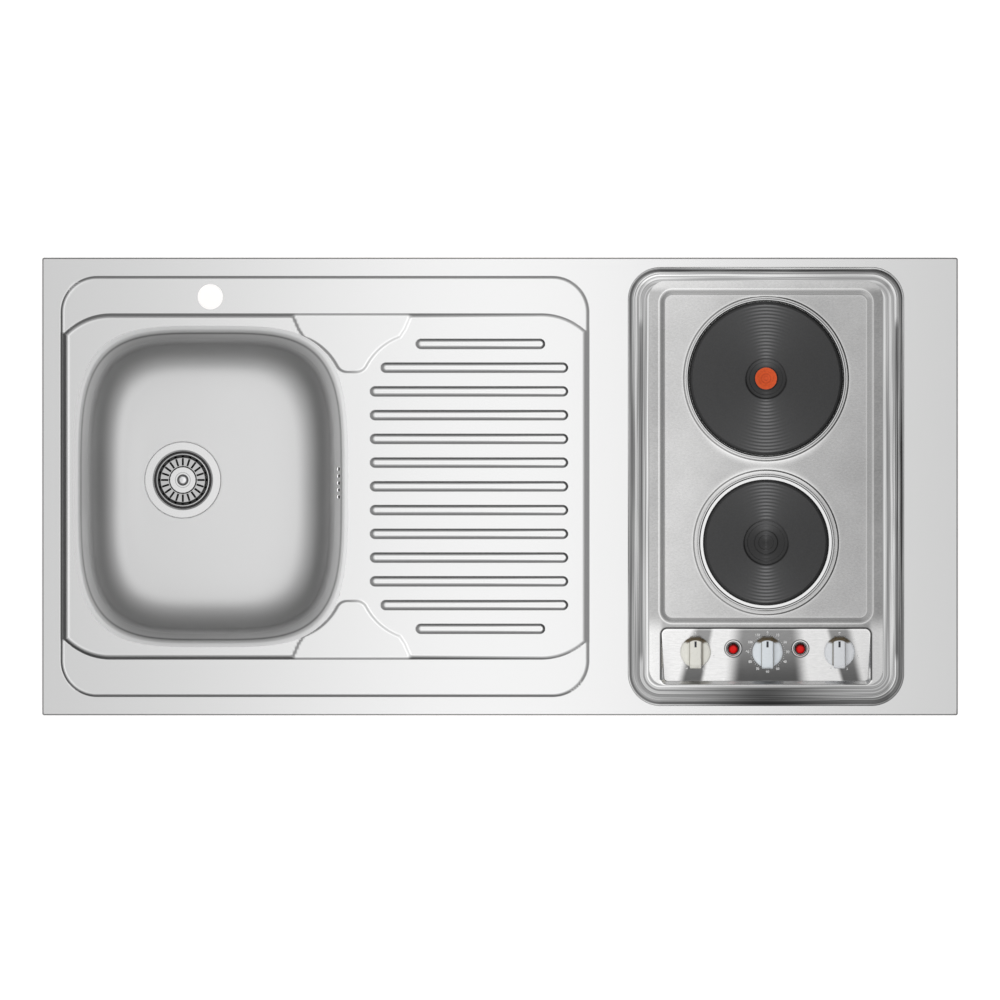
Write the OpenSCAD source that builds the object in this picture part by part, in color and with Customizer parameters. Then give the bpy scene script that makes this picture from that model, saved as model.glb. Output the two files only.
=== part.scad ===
// Lay-on kitchenette top: pressed steel worktop with a drawn bowl, a ribbed drainer and a two-plate hob.
// Millimetres. X runs along the worktop, Y points to its back, Z up.
// The origin is the middle of the face that lies on the cabinet, under the middle batten.

/* [Worktop] */
// Width of the worktop
top_w = 1200; // [1198:1:1230]
// Depth of the worktop
top_d = 600; // [598:1:620]
// Height of the worktop's surface over its seat
rim_h = 38; // [37:0.5:42]
// Thickness of the worktop's sheet
sheet = 1; // [0.8:0.1:1.2]
// Depth of the ledges behind and before the sink
ledge_drop = 2; // [1.6:0.1:2.4]
// Depth of the sink surround
surround_drop = 5; // [4.6:0.1:5.6]
// Fall of the drainer towards the bowl
drainer_fall = 1.2; // [0.6:0.1:1.6]
// Height of the drainer's ribs
rib_h = 2.3; // [1.5:0.1:2.8]
// Number of ribs on the drainer
rib_count = 13; // [11:2:13]
// Distance from rib to rib
rib_pitch = 31.1; // [28:0.1:31.5]

/* [Bowl] */
// Centre of the bowl, left of the middle
bowl_x = -378.5; // [-379:0.1:-378]
// Half of the bowl's width at its rim
bowl_a = 175; // [170:0.5:176]
// Half of the bowl's length at its rim
bowl_b = 206; // [200:0.5:207]
// Depth of the bowl
bowl_depth = 150; // [140:1:160]
// Radius of the tap hole
tap_r = 16.5; // [16:0.5:17.5]
// Radius of the outlet's pipe thread
outlet_r = 23.9; // [20.9:0.1:23.9]

/* [Hob] */
// Middle of the hob, right of the middle
hob_x = 348.5; // [346:0.5:350]
// Width of the hob
hob_w = 362; // [358:1:364]
// Depth of the hob
hob_d = 575; // [572:1:576]
// Height of the hob's shelf over the worktop
hob_h = 8; // [7:0.5:9]
// Depth of the cooking well
well_drop = 4; // [3.5:0.1:4.5]
// Radius of the rear hotplate
rear_r = 101; // [100:0.5:103]
// Radius of the front hotplate
front_r = 82.5; // [80:0.5:84]

/* [Controls] */
// Slope of the control panel towards the front
panel_tilt = 3; // [2.5:0.1:3.5]
// Radius of a knob
knob_r = 20; // [18:0.5:21]
// Radius of a control shaft
shaft_r = 3; // [2.9:0.05:3.1]
// Distance between the knobs
knob_pitch = 94.3; // [92:0.1:96]

/* [Hidden] */
$fn = 64;

steel = [0.83, 0.84, 0.85];
dark_steel = [0.55, 0.56, 0.58];
iron = [0.22, 0.22, 0.23];
chrome = [0.9, 0.9, 0.92];
timber = [0.78, 0.64, 0.45];
chipboard = [0.72, 0.6, 0.44];
rubber = [0.1, 0.1, 0.1];
white_plastic = [0.9, 0.9, 0.88];
ivory = [0.9, 0.88, 0.8];
grey_plastic = [0.4, 0.42, 0.44];
ceramic = [0.92, 0.9, 0.85];

// levels of the pressed sheet
z_ledge = rim_h - ledge_drop;
z_sink = rim_h - surround_drop;
z_island = z_sink + drainer_fall + 0.3;
press_slope = 2;      // run of a pressed step for each millimetre of drop
ledge_y = 274;        // middle line of the outer step
sink_y = 224;         // middle line of the inner step
drainer_x = 115;      // middle line of the step right of the drainer
fall_x = -190;        // where the drainer's fall begins
ledge_line = [-574, drainer_x, -ledge_y, ledge_y, 46];
sink_line = [-593, drainer_x + 22, -sink_y, sink_y, 83];
ledge_mid = rim_h - ledge_drop / 2;
sink_mid = (z_ledge + z_sink) / 2;
island_x = -194.3;
rib_w = 13.3;
bowl_flange = 4.5;
tap_at = [-379.5, 248.5];

// timber frame and boards under the sheet
rail_w = 22;
board_z = 14;         // underside of the boards
side_rail_w = 40;
frame_x = top_w / 2 - sheet;
frame_y = top_d / 2 - sheet;
rail_y = frame_y - rail_w;
cut_w = 324;          // hob cut-out in the worktop
cut_d = 536;
cut_left = hob_x - cut_w / 2 - 1;
cut_right = hob_x + cut_w / 2 + 1;
board_left = -frame_x + side_rail_w;
board_right = drainer_x + 3.5;
batten_w = 40;

// bowl and waste
bowl_points = 56;
bowl_sheet = 1;
bowl_shape = 3.8;     // exponent of the bowl's outline
drain_at = [-415.5, 8.5];
drain_z = z_sink - bowl_depth;
drain_r = 50;
seat_drop = 2.2;      // depth of the seat for the waste's flange
overflow_z = z_sink - 13;
overflow_y = 4.6;
overflow_pitch = 9.1;
overflow_x = -198;    // middle of the overflow hose
overflow_far = overflow_x + 15;
overflow_run_z = drain_z - 35;

// hob
shelf_z = rim_h + hob_h;
well_z = shelf_z - well_drop;
hob_sheet = 0.8;
hob_line = [hob_x - hob_w / 2, hob_x + hob_w / 2, -hob_d / 2, hob_d / 2, 43];
crest_line = [hob_x - hob_w / 2 + 28, hob_x + hob_w / 2 - 28, -hob_d / 2 + 27, hob_d / 2 - 18, 22];
well_line = [hob_x - 140.5, hob_x + 140.5, -180, 259, 18];
panel_line = [hob_x - 137.5, hob_x + 137.5, -259, -186, 8];
panel_y = -185;
panel_z = shelf_z - 0.6;
rear_y = 141.5;
front_y = -73.4;
land_h = 1.2;         // height of the raised land round each plate
ring_seat = well_z + land_h;
plate_seat = ring_seat + 1.2;
plate_h = 4.2;
plate_bottom = well_z - 12;
heater_in = 22;       // groove for the heater under each plate
heater_edge = 13;
heater_h = 8;
tray_w = 300;
tray_front = -250;
tray_back = 264;
tray_z = -22;
tray_sheet = 1;
bar_z = 10;
bar_reach = 110;
dial_at = [-knob_pitch + 2, 2, knob_pitch + 2];
dial_y = -31.8;
lamp_at = [-43, 45];
lamp_y = -27.4;
bracket_z = -11;
shaft_low = -35;
cable_at = [hob_x + 95, 205];

// ---- outlines and lofts ----

function arc(x, y, r, from, to, steps) =
    [for (i = [0 : steps]) let (a = from + (to - from) * i / steps) [x + r * cos(a), y + r * sin(a)]];

// rounded rectangle of [left, right, front, back, radius], grown by g on each side
function outline(o, g = 0, steps = 7) = let (r = o[4] + g)
    concat(arc(o[1] + g - r, o[3] + g - r, r, 0, 90, steps),
        arc(o[0] - g + r, o[3] + g - r, r, 90, 180, steps),
        arc(o[0] - g + r, o[2] - g + r, r, 180, 270, steps),
        arc(o[1] + g - r, o[2] - g + r, r, 270, 360, steps));

function at_z(points, z) = [for (p = points) [p[0], p[1], z]];

// ring between two rings of equal length, a share t of the way
function between(a, b, t) = [for (i = [0 : len(a) - 1]) a[i] + (b[i] - a[i]) * t];

// side faces of a stack of rings, each with n points; closed stacks join the last ring to the first
function side_faces(rings, n, closed) =
    [for (k = [0 : rings - (closed ? 1 : 2)], i = [0 : n - 1])
        let (j = (i + 1) % n, m = (k + 1) % rings) [k * n + i, m * n + i, m * n + j, k * n + j]];

// solid through rings that are listed from the lowest to the highest
module loft(rings) {
    n = len(rings[0]);
    last = (len(rings) - 1) * n;
    polyhedron(
        points = [for (ring = rings) each ring],
        faces = concat(side_faces(len(rings), n, false),
            [[for (i = [0 : n - 1]) i], [for (i = [n - 1 : -1 : 0]) last + i]]),
        convexity = 8);
}

// shell whose skin runs through the rings and back to the first one
module closed_loft(rings) {
    n = len(rings[0]);
    polyhedron(points = [for (ring = rings) each ring],
        faces = side_faces(len(rings), n, true), convexity = 8);
}

// pocket with pressed walls: its line o lies at height mid, and it spreads upwards
module pocket(o, mid, low, high, slope = press_slope) {
    loft([at_z(outline(o, slope * (low - mid)), low), at_z(outline(o, slope * (high - mid)), high)]);
}

module stadium(length, width) {
    square([length - width, width], center = true);
    for (side = [-1, 1]) translate([side * (length - width) / 2, 0]) circle(d = width);
}

module on_panel(x = 0, y = 0) {
    translate([hob_x, panel_y, panel_z]) rotate([panel_tilt, 0, 0]) translate([x, y, 0]) children();
}

module at_drain() {
    translate([drain_at[0], drain_at[1], drain_z]) children();
}

// ---- worktop ----

function floor_z(x) = z_sink + drainer_fall * max(0, x - fall_x) / (drainer_x - fall_x);

// the island between bowl and drainer, as the middle line of its wall, taken in by d
function island_line(d) = let (side = 90.7, cy = 120, r = 81 + d, tip = 15 - d, top = 230,
        half = concat(arc(side, cy, r, 151.4, 110, 6), [[69.5 - d, 206], [76.5 - d, 222], [76.5 - d, top]]))
    concat([for (p = half) p],
        [for (i = [len(half) - 1 : -1 : 0]) [-half[i][0], half[i][1]]],
        arc(-5.9, 165, tip, 208, 270, 4), arc(5.9, 165, tip, 270, 332, 4));

module island() {
    mid = (z_sink + z_island) / 2;
    low = z_sink - 1;
    translate([island_x, 0, 0]) loft([for (z = [low, z_island]) at_z(island_line(press_slope * (z - mid)), z)]);
}

function rib_half(i) = abs(i - (rib_count - 1) / 2);
function rib_left(i) = rib_half(i) > 5 ? -110 : rib_half(i) > 4 ? -156 : -170;
function rib_right(i) = rib_half(i) > 5 ? 59 : 89;

// one ring of a rib, w wide, h above the falling drainer
function rib_ring(x0, x1, y, w, h) =
    [for (p = concat(arc(x1, y, w / 2, -90, 90, 6), arc(x0, y, w / 2, 90, 270, 6))) [p[0], p[1], floor_z(p[0]) + h]];

module rib(i) {
    x0 = rib_left(i) + rib_w / 2;
    x1 = rib_right(i) - rib_w / 2;
    y = (i - (rib_count - 1) / 2) * rib_pitch;
    loft([rib_ring(x0, x1, y, rib_w, -1), rib_ring(x0, x1, y, rib_w, 0.1),
        rib_ring(x0, x1, y, rib_w - 2.8, rib_h * 0.7), rib_ring(x0, x1, y, rib_w - 7.5, rib_h)]);
}

// everything under the sheet's upper face, down to low; inset takes in the outer edge
module pressed_form(inset, low) {
    difference() {
        translate([0, 0, low]) linear_extrude(rim_h - low)
            polygon(outline([-top_w / 2, top_w / 2, -top_d / 2, top_d / 2, 3], -inset, 3));
        pocket(ledge_line, ledge_mid, z_ledge, rim_h + 1);
        intersection() {
            pocket(ledge_line, ledge_mid, z_sink - 1, rim_h + 1);
            pocket(sink_line, sink_mid, z_sink - 1, z_ledge + 0.4);
        }
    }
    rotate([90, 0, 0]) linear_extrude(2 * sink_y + 4, center = true)
        polygon([[-577, low], [-577, z_sink], [fall_x, z_sink], [drainer_x + 1, floor_z(drainer_x + 1)],
            [drainer_x + 1, low]]);
    for (side = [0, 1]) mirror([0, side, 0]) island();
    for (i = [0 : rib_count - 1]) rib(i);
}

module worktop() {
    color(steel) difference() {
        // the pressed sheet is kept at its own size as one mesh; the tap hole is cut from it as a true bore
        resize([0, 0, 0]) difference() {
            pressed_form(0, 0.5);
            translate([0, 0, -sheet]) pressed_form(sheet, -10);
            translate([0, 0, z_sink - 10]) linear_extrude(20) polygon(bowl_outline(-bowl_flange));
            translate([hob_x - cut_w / 2, -cut_d / 2, rim_h - 5]) cube([cut_w, cut_d, 10]);
        }
        translate([tap_at[0], tap_at[1], rim_h - 8]) cylinder(r = tap_r, h = 10);
    }
}

// ---- bowl ----

// superellipse with half axes a and b, by polar angle
function superellipse(a, b, power) = [for (i = [0 : bowl_points - 1]) let (t = 360 * i / bowl_points,
    r = pow(pow(abs(cos(t)) / a, power) + pow(abs(sin(t)) / b, power), -1 / power)) [r * cos(t), r * sin(t)]];

// outline of the bowl, taken in by inset from its rim
function bowl_outline(inset) =
    [for (p = superellipse(bowl_a - inset, bowl_b - inset, bowl_shape)) [bowl_x + p[0], p[1]]];

function drain_ring(r) = [for (i = [0 : bowl_points - 1]) let (t = 360 * i / bowl_points)
    [drain_at[0] + r * cos(t), drain_at[1] + r * sin(t)]];

// Section of the bowl as [inset from the rim, z]: rounded lip, flared band with the overflow slots,
// knee, steep wall, and a wide foot that runs into the floor, which falls to the drain.
lip_r = 5;
flare = 66;                     // slope of the flared band
flare_run = 22;
knee_r = 8;
wall_lean = 4;
foot_r = 45;
foot_z = drain_z + 2;

function bend(x, z, r, a) = [x + r * sin(a), z + r * cos(a)];

flare_start = bend(-1, z_sink - lip_r, lip_r, flare);
flare_end = flare_start + flare_run * [cos(flare), -sin(flare)];
knee = flare_end - knee_r * [sin(flare), cos(flare)];
knee_end = bend(knee[0], knee[1], knee_r, 90 - wall_lean);

// inset of the wall at height z, from the flared band down to the foot
function wall_inset(z) = min(flare_start[0] + (flare_start[1] - z) / tan(flare),
    knee_end[0] + (knee_end[1] - z) * tan(wall_lean));

foot_inset = wall_inset(foot_z + foot_r * (1 - sin(wall_lean))) + foot_r * cos(wall_lean);

// section of the bowl's face; back moves it out by the sheet's thickness
function bowl_section(back) = concat([[-bowl_flange, z_sink - back]],
    [for (a = [0 : flare / 3 : flare]) bend(-1, z_sink - lip_r, lip_r - back, a)],
    [for (a = [flare, 76, 90 - wall_lean]) bend(knee[0], knee[1], knee_r - back, a)],
    [for (a = [wall_lean, 18, 32, 46, 60, 75, 90])
        [foot_inset - (foot_r + back) * cos(a), foot_z + foot_r - (foot_r + back) * sin(a)]]);

function bowl_rings(back) = [for (p = bowl_section(back)) at_z(bowl_outline(p[0]), p[1])];

module bowl() {
    floor_z = drain_z - seat_drop;
    inner = concat(bowl_rings(0), [at_z(drain_ring(drain_r + 2), drain_z),
        at_z(drain_ring(drain_r + 1), floor_z), at_z(drain_ring(42), floor_z)]);
    outer = concat(bowl_rings(bowl_sheet), [at_z(drain_ring(drain_r + 4), drain_z - bowl_sheet),
        at_z(drain_ring(drain_r + 2.5), floor_z - bowl_sheet), at_z(drain_ring(42), floor_z - bowl_sheet)]);
    rings = concat(outer, [for (i = [len(inner) - 1 : -1 : 0]) inner[i]]);
    color(steel) difference() {
        closed_loft([for (i = [len(rings) - 1 : -1 : 0]) rings[i]]);
        for (i = [-2 : 2]) translate([bowl_x + bowl_a - 20, overflow_y + i * overflow_pitch, overflow_z])
            rotate([90, 0, 90]) linear_extrude(30) rotate(90) stadium(8, 4.8);
    }
}

// sheet of damping rubber stuck under the floor, round the drain
module bowl_sound_pad() {
    glue = 0.06;
    edge = at_z(bowl_outline(foot_inset), foot_z - bowl_sheet - glue);
    drain = at_z(drain_ring(drain_r + 4), drain_z - bowl_sheet - glue);
    low = [0, 0, -2.5];
    outer = between(edge, drain, 0.15);
    inner = between(edge, drain, 0.75);
    color(rubber) closed_loft([outer, inner, [for (p = inner) p + low], [for (p = outer) p + low]]);
}

// ---- waste ----

module waste_flange() {
    color(chrome) at_drain() difference() {
        rotate_extrude() polygon([[3.2, -26], [34.6, -26], [34.6, -6], [37.8, -6], [37.8, -1.2], [50, -1.2],
            [50, -0.7], [49.2, 0], [39.6, 0], [37.6, -0.8], [36.8, -2.4], [36.8, -5], [33.6, -5],
            [33.6, -25], [3.2, -25]]);
        for (i = [0 : 7]) rotate(45 * i) translate([20, 0, -30]) cylinder(r = 4, h = 10, $fn = 32);
    }
}

module flat_ring(inner, outer, low, high) {
    rotate_extrude() translate([inner, low]) square([outer - inner, high - low]);
}

module waste_gasket_upper() {
    color(rubber) at_drain() flat_ring(43, 49.5, -seat_drop, -1.2);
}

module waste_gasket_lower() {
    color(rubber) at_drain() flat_ring(39, 51.5, -6.2, -seat_drop - bowl_sheet);
}

module waste_body() {
    stub_z = overflow_run_z - drain_z;
    stub_y = overflow_y - drain_at[1];
    color(white_plastic) at_drain() {
        difference() {
            union() {
                rotate_extrude() polygon([[36.5, -10], [36.5, -6.2], [53, -6.2], [53, -10], [40, -10],
                    [40, -50], [outlet_r + 3, -58], [outlet_r, -58], [outlet_r, -80], [20, -80],
                    [20, -56], [36.5, -49]]);
                translate([0, stub_y, stub_z]) rotate([0, 90, 0]) cylinder(r = 10, h = 66);
            }
            translate([0, 0, -49]) cylinder(r = 36.5, h = 50);
            translate([0, stub_y, stub_z]) rotate([0, 90, 0]) cylinder(r = 8, h = 70);
        }
        difference() {
            union() {
                translate([0, 0, -60]) cylinder(r = 7, h = 14);
                for (i = [0 : 2]) rotate(120 * i + 60) translate([0, -1.5, -60]) cube([21, 3, 10]);
            }
            translate([0, 0, -61]) cylinder(r = 3.05, h = 20);
        }
    }
}

module waste_screw() {
    color(chrome) at_drain() {
        translate([0, 0, -58]) cylinder(r = 3, h = 34);
        difference() {
            translate([0, 0, -25]) cylinder(r1 = 6, r2 = 5, h = 3.4);
            translate([-5, -0.7, -22.8]) cube([10, 1.4, 3]);
        }
    }
}

// pressed basket: rolled rim on the cup's step, steep side, slotted floor and raised middle
module strainer_basket() {
    color(chrome) at_drain() difference() {
        rotate_extrude() polygon([[32.6, -5], [34.4, -5], [34.7, -4.4], [34.4, -3.7], [33.6, -3.5], [32.4, -3.9],
            [29.4, -11], [18.3, -11], [16.6, -8.6], [3.1, -8.6], [3.1, -9.6], [16, -9.6], [17.7, -12],
            [30.1, -12]]);
        for (i = [0 : 19]) rotate(18 * i) translate([19, -1.3, -14]) cube([9.6, 2.6, 5]);
    }
}

module basket_seal() {
    color(rubber) at_drain() rotate_extrude() polygon([[3.05, -20], [14, -20], [25, -18.2], [25, -17.2],
        [12, -17.6], [6, -15], [3.05, -15]]);
}

module basket_knob() {
    color(chrome) at_drain() rotate_extrude() polygon([[0, -21], [5, -21], [5, -20], [3, -20], [3, -8.6],
        [5.2, -8.6], [5.2, -7], [3.4, -5.6], [3.4, -3.6], [5.2, -2.6], [5.2, -0.6], [4.2, 0.4], [0, 0.8]]);
}

// outer face of the bowl's right wall at height z, with a little room for the seal
function wall_x(z) = bowl_x + bowl_a - wall_inset(z) + bowl_sheet / sin(flare) + 0.15;

// trough over the overflow slots; its open side lies on the sloping wall
module overflow_collector() {
    low = overflow_z - 20;
    high = overflow_z + 9;
    far = overflow_far;
    mid = flare_end[1];
    color(grey_plastic) difference() {
        union() {
            rotate([90, 0, 0]) translate([0, 0, -overflow_y]) linear_extrude(56, center = true)
                polygon([[wall_x(low), low], [far, low], [far, high], [wall_x(high), high], [wall_x(mid), mid]]);
            translate([overflow_x, overflow_y, low - 12]) cylinder(r = 10, h = 13);
        }
        rotate([90, 0, 0]) translate([0, 0, -overflow_y]) linear_extrude(51, center = true)
            polygon([[wall_x(low) - 5, low + 3], [far - 2.5, low + 3], [far - 2.5, high - 2.5],
                [wall_x(high) - 15, high - 2.5]]);
        translate([overflow_x, overflow_y, low - 13]) cylinder(r = 8, h = 20);
    }
}

// outline of a ribbed tube's wall along its length
function ribbed_wall(length, bore, root, crest, pitch) = let (n = floor((length - 12) / pitch))
    concat([[bore, 0], [crest, 0], [crest, 6]],
        [for (i = [0 : n - 1]) each [[root, 6 + i * pitch], [root, 6 + (i + 0.5) * pitch],
            [crest, 6 + (i + 0.5) * pitch], [crest, 6 + (i + 1) * pitch]]],
        [[crest, length], [bore, length]]);

module overflow_hose() {
    top = overflow_z - 20;
    bend = 24;
    drop = top - (overflow_run_z + bend);
    end_x = drain_at[0] + 42;
    run = overflow_x - bend - end_x;
    color(grey_plastic) translate([overflow_x, overflow_y, 0]) {
        translate([0, 0, top - drop]) rotate_extrude() polygon(ribbed_wall(drop, 10.2, 11.2, 12.4, 5));
        translate([-bend, 0, overflow_run_z + bend]) rotate([-90, 0, 0]) rotate_extrude(angle = 90)
            translate([bend, 0]) difference() {
                circle(r = 12.4);
                circle(r = 10.2);
            }
        translate([-bend, 0, overflow_run_z]) rotate([0, -90, 0])
            rotate_extrude() polygon(ribbed_wall(run, 10.2, 11.2, 12.4, 5));
    }
}

// ---- timber under the sheet ----

// front or rear rail: narrow beside the sink, wider where it carries the hob
module long_rail() {
    color(timber) linear_extrude(rim_h - sheet) intersection() {
        polygon([[-frame_x, frame_y], [-frame_x, rail_y], [board_right, rail_y],
            [board_right, cut_d / 2 + 1], [frame_x, cut_d / 2 + 1], [frame_x, frame_y]]);
        // the outer corners are rounded like the sheet's
        polygon(outline([-top_w / 2, top_w / 2, -top_d / 2, top_d / 2, 3], -sheet, 3));
    }
}

module rail_rear() { long_rail(); }

module rail_front() { mirror([0, 1, 0]) long_rail(); }

// left rail with a rebate that carries the sink surround
module rail_left() {
    color(timber) rotate([90, 0, 0]) linear_extrude(2 * rail_y, center = true)
        polygon([[-frame_x, 0], [board_left, 0], [board_left, z_sink - sheet], [-577, z_sink - sheet],
            [-577, rim_h - sheet], [-frame_x, rim_h - sheet]]);
}

module rail_right() {
    color(timber) translate([cut_right, -cut_d / 2 - 1, 0])
        cube([frame_x - cut_right, cut_d + 2, rim_h - sheet]);
}

module cross_rail_hob() {
    color(timber) translate([board_right, -cut_d / 2 - 1, 0])
        cube([cut_left - board_right, cut_d + 2, rim_h - sheet]);
}

module batten(x) {
    color(timber) translate([x - batten_w / 2, -rail_y, 0]) cube([batten_w, 2 * rail_y, board_z]);
}

module batten_sink() { batten(-148); }

module batten_middle() { batten(0); }

seam_y = 150;         // joint between the drainer's board and the boards before and behind the bowl

// board behind the bowl, rebated under the sink surround and cut along the bowl
module long_board() {
    color(chipboard) difference() {
        translate([board_left, seam_y, board_z])
            cube([board_right - board_left, rail_y - seam_y, z_ledge - sheet - board_z]);
        translate([board_left - 1, seam_y - 1, z_sink - sheet])
            cube([board_right - board_left + 2, sink_y + 6 - seam_y, 10]);
        translate([0, 0, board_z - 1]) linear_extrude(40) polygon(bowl_outline(-2));
    }
}

module board_rear() {
    difference() {
        long_board();
        translate([tap_at[0], tap_at[1], 0]) cylinder(r = tap_r, h = rim_h);
    }
}

module board_front() { mirror([0, 1, 0]) long_board(); }

module board_drainer() {
    color(chipboard) difference() {
        translate([bowl_x + bowl_a - 20, -seam_y, board_z])
            cube([board_right - bowl_x - bowl_a + 20, 2 * seam_y, z_sink - sheet - board_z]);
        translate([0, 0, board_z - 1]) linear_extrude(40) polygon(bowl_outline(-2));
        translate([overflow_x - 20, overflow_y - 29, board_z - 1]) cube([overflow_far + 21 - overflow_x, 58, 40]);
    }
}

// steel plate under the rear board, which the tap's nut pulls against
module tap_plate() {
    color(dark_steel) translate([tap_at[0], tap_at[1], board_z - 3]) difference() {
        linear_extrude(3) square([90, 54], center = true);
        translate([0, 0, -1]) cylinder(r = tap_r, h = 5);
        for (x = [-36, 36], y = [-19, 19]) translate([x, y, -1]) cylinder(r = 2, h = 5, $fn = 24);
    }
}

gable_t = 17;         // thickness of the cabinet's side, which the angles are screwed to
angle_y = 200;

module fixing_angles() {
    x = frame_x - gable_t;
    color(dark_steel) for (side = [0, 1], y = [-angle_y, angle_y]) mirror([side, 0, 0])
        translate([x, y, 0]) difference() {
            union() {
                translate([-20, -15, -2]) cube([20, 30, 2]);
                translate([-2, -15, -30]) cube([2, 30, 30]);
            }
            translate([-5, 0, -17]) rotate([0, 90, 0]) cylinder(r = 2.75, h = 8, $fn = 32);
            translate([-12, 0, -5]) cylinder(r = 2.25, h = 8, $fn = 32);
        }
}

// ---- hob ----

// rim arched like a quarter of an ellipse, from the outer line up to the crest
function rim_ring(share, inset) = let (a = 90 * share, t = 1 - cos(a))
    at_z(outline([for (k = [0 : 4]) hob_line[k] + (crest_line[k] - hob_line[k]) * t], -inset, 7),
        rim_h + hob_h * sin(a));

// panel pocket: its floor lies on the sloping plane and its walls spread as they grow deeper
function panel_floor(y) = panel_z + (y - panel_y) * tan(panel_tilt);
function panel_ring(rise) = [for (p = outline(panel_line, 0)) let (deep = shelf_z - panel_floor(p[1]),
    c = (panel_line[2] + panel_line[3]) / 2, k = rise * deep * 0.9)
    [p[0] + k * sign(p[0] - hob_x) * min(1, abs(p[0] - hob_x) / 120),
        p[1] + k * sign(p[1] - c) * 0.6, panel_floor(p[1]) + rise * deep]];

// everything under the hob's upper face; inset takes in its outer edge
module hob_form(inset, low) {
    rise = [for (s = [0, 0.16, 0.32, 0.5, 0.7, 1]) rim_ring(s, inset)];
    difference() {
        loft(concat(low < rim_h ? [at_z(outline(hob_line, -inset, 7), low)] : [], rise));
        loft([at_z(outline(well_line, -7), well_z), at_z(outline(well_line, 0), shelf_z),
            at_z(outline(well_line, 1.8), shelf_z + 1)]);
        loft([panel_ring(0), panel_ring(1), [for (p = panel_ring(1)) [p[0], p[1], shelf_z + 1]]]);
    }
    for (plate = [[rear_y, rear_r + 9.5], [front_y, front_r + 12.5]])
        translate([hob_x, plate[0], well_z - 1]) cylinder(r1 = plate[1] + 1.2, r2 = plate[1], h = 1 + land_h);
}

module hob_top() {
    color(steel) difference() {
        hob_form(0, rim_h);
        translate([0, 0, -hob_sheet]) hob_form(hob_sheet, rim_h - 6);
        for (plate = [[rear_y, rear_r - 6.3], [front_y, front_r - 6.3]])
            translate([hob_x, plate[0], rim_h - 10]) cylinder(r = plate[1], h = 20);
        for (x = dial_at) on_panel(x, dial_y) translate([0, 0, -5]) cylinder(r = 5.5, h = 10, $fn = 40);
        for (x = lamp_at) on_panel(x, lamp_y) translate([0, 0, -5]) cylinder(r = 7.7, h = 10, $fn = 40);
    }
}

module hob_gasket() {
    color(rubber) translate([0, 0, rim_h]) linear_extrude(3.5) difference() {
        polygon(outline(hob_line, -6, 4));
        translate([hob_x - cut_w / 2, -cut_d / 2]) square([cut_w, cut_d]);
    }
}

module hob_tray() {
    high = shelf_z - hob_sheet - tray_z;
    line = [hob_x - tray_w / 2, hob_x + tray_w / 2, tray_front, tray_back, 12];
    color(dark_steel) difference() {
        translate([0, 0, tray_z]) linear_extrude(high) polygon(outline(line, 0, 4));
        translate([0, 0, tray_z + tray_sheet]) linear_extrude(high) polygon(outline(line, -tray_sheet, 4));
        translate([hob_x - 143, tray_front - 1, panel_floor(tray_front) - hob_sheet - 0.4])
            cube([286, 5, 20]);
        translate([cable_at[0], cable_at[1], tray_z - 1]) cylinder(r = 10, h = 4);
        for (y = [rear_y, front_y], x = [-1, 1])
            translate([hob_x + x * (bar_reach + 8), y, tray_z - 1]) cylinder(r = 2.1, h = 4, $fn = 24);
        for (i = [0 : 3]) translate([hob_x, i * 9 - 30 - 8 * 9, tray_z - 1]) linear_extrude(4)
            for (x = [-60, 0, 60]) translate([x, -60]) stadium(40, 3);
    }
}

module tray_screws() {
    color(chrome) for (y = [rear_y, front_y], x = [-1, 1])
        translate([hob_x + x * (bar_reach + 8), y, tray_z]) {
            translate([0, 0, -2.2]) cylinder(r1 = 3, r2 = 3.8, h = 2.2, $fn = 24);
            cylinder(r = 1.95, h = 6, $fn = 24);
        }
}

// angle screwed to the tray's side, with a finger under the worktop's frame
clamp_y = 190;
module hob_clamps() {
    color(dark_steel) for (side = [0, 1], y = [-clamp_y, clamp_y])
        translate([hob_x, y, 0]) mirror([side, 0, 0]) difference() {
            union() {
                translate([tray_w / 2, -12, -18]) cube([2, 24, 18]);
                translate([tray_w / 2, -12, -2.5]) cube([24, 24, 2.5]);
            }
            translate([tray_w / 2 - 1, 0, -11]) rotate([0, 90, 0]) cylinder(r = 2.1, h = 5, $fn = 24);
        }
}

module clamp_screws() {
    color(chrome) for (side = [0, 1], y = [-clamp_y, clamp_y])
        translate([hob_x, y, -11]) mirror([side, 0, 0]) rotate([0, 90, 0]) {
            translate([0, 0, tray_w / 2 + 2]) cylinder(r1 = 3.8, r2 = 3, h = 2.2, $fn = 24);
            translate([0, 0, tray_w / 2]) cylinder(r = 1.95, h = 2.1, $fn = 24);
        }
}

// turned iron plate with bevelled edge, recessed hub and clamping stud
module hotplate(y, r, hub_r) {
    top = plate_seat + plate_h;
    color(iron) translate([hob_x, y, 0]) {
        rotate_extrude($fn = 96) polygon([[0, plate_bottom], [heater_in, plate_bottom],
            [heater_in, plate_bottom + heater_h], [r - heater_edge, plate_bottom + heater_h],
            [r - heater_edge, plate_bottom], [r - 7, plate_bottom], [r - 7, plate_seat],
            [r - 0.4, plate_seat], [r, plate_seat + 0.4], [r, plate_seat + 1.6], [r - 4.5, top], [hub_r, top],
            [hub_r - 1.5, top - 1.2], [hub_r - 5, top - 1.2], [hub_r - 5.6, top - 1.6], [16, top - 1.6],
            [14.5, top - 0.7], [10, top - 0.7], [9.4, top - 1.1], [0, top - 1.1]]);
        translate([0, 0, 1]) cylinder(r = 3, h = plate_bottom - 1);
    }
}

module rear_hotplate() { hotplate(rear_y, rear_r, 27); }

module front_hotplate() { hotplate(front_y, front_r, 29.5); }

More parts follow.
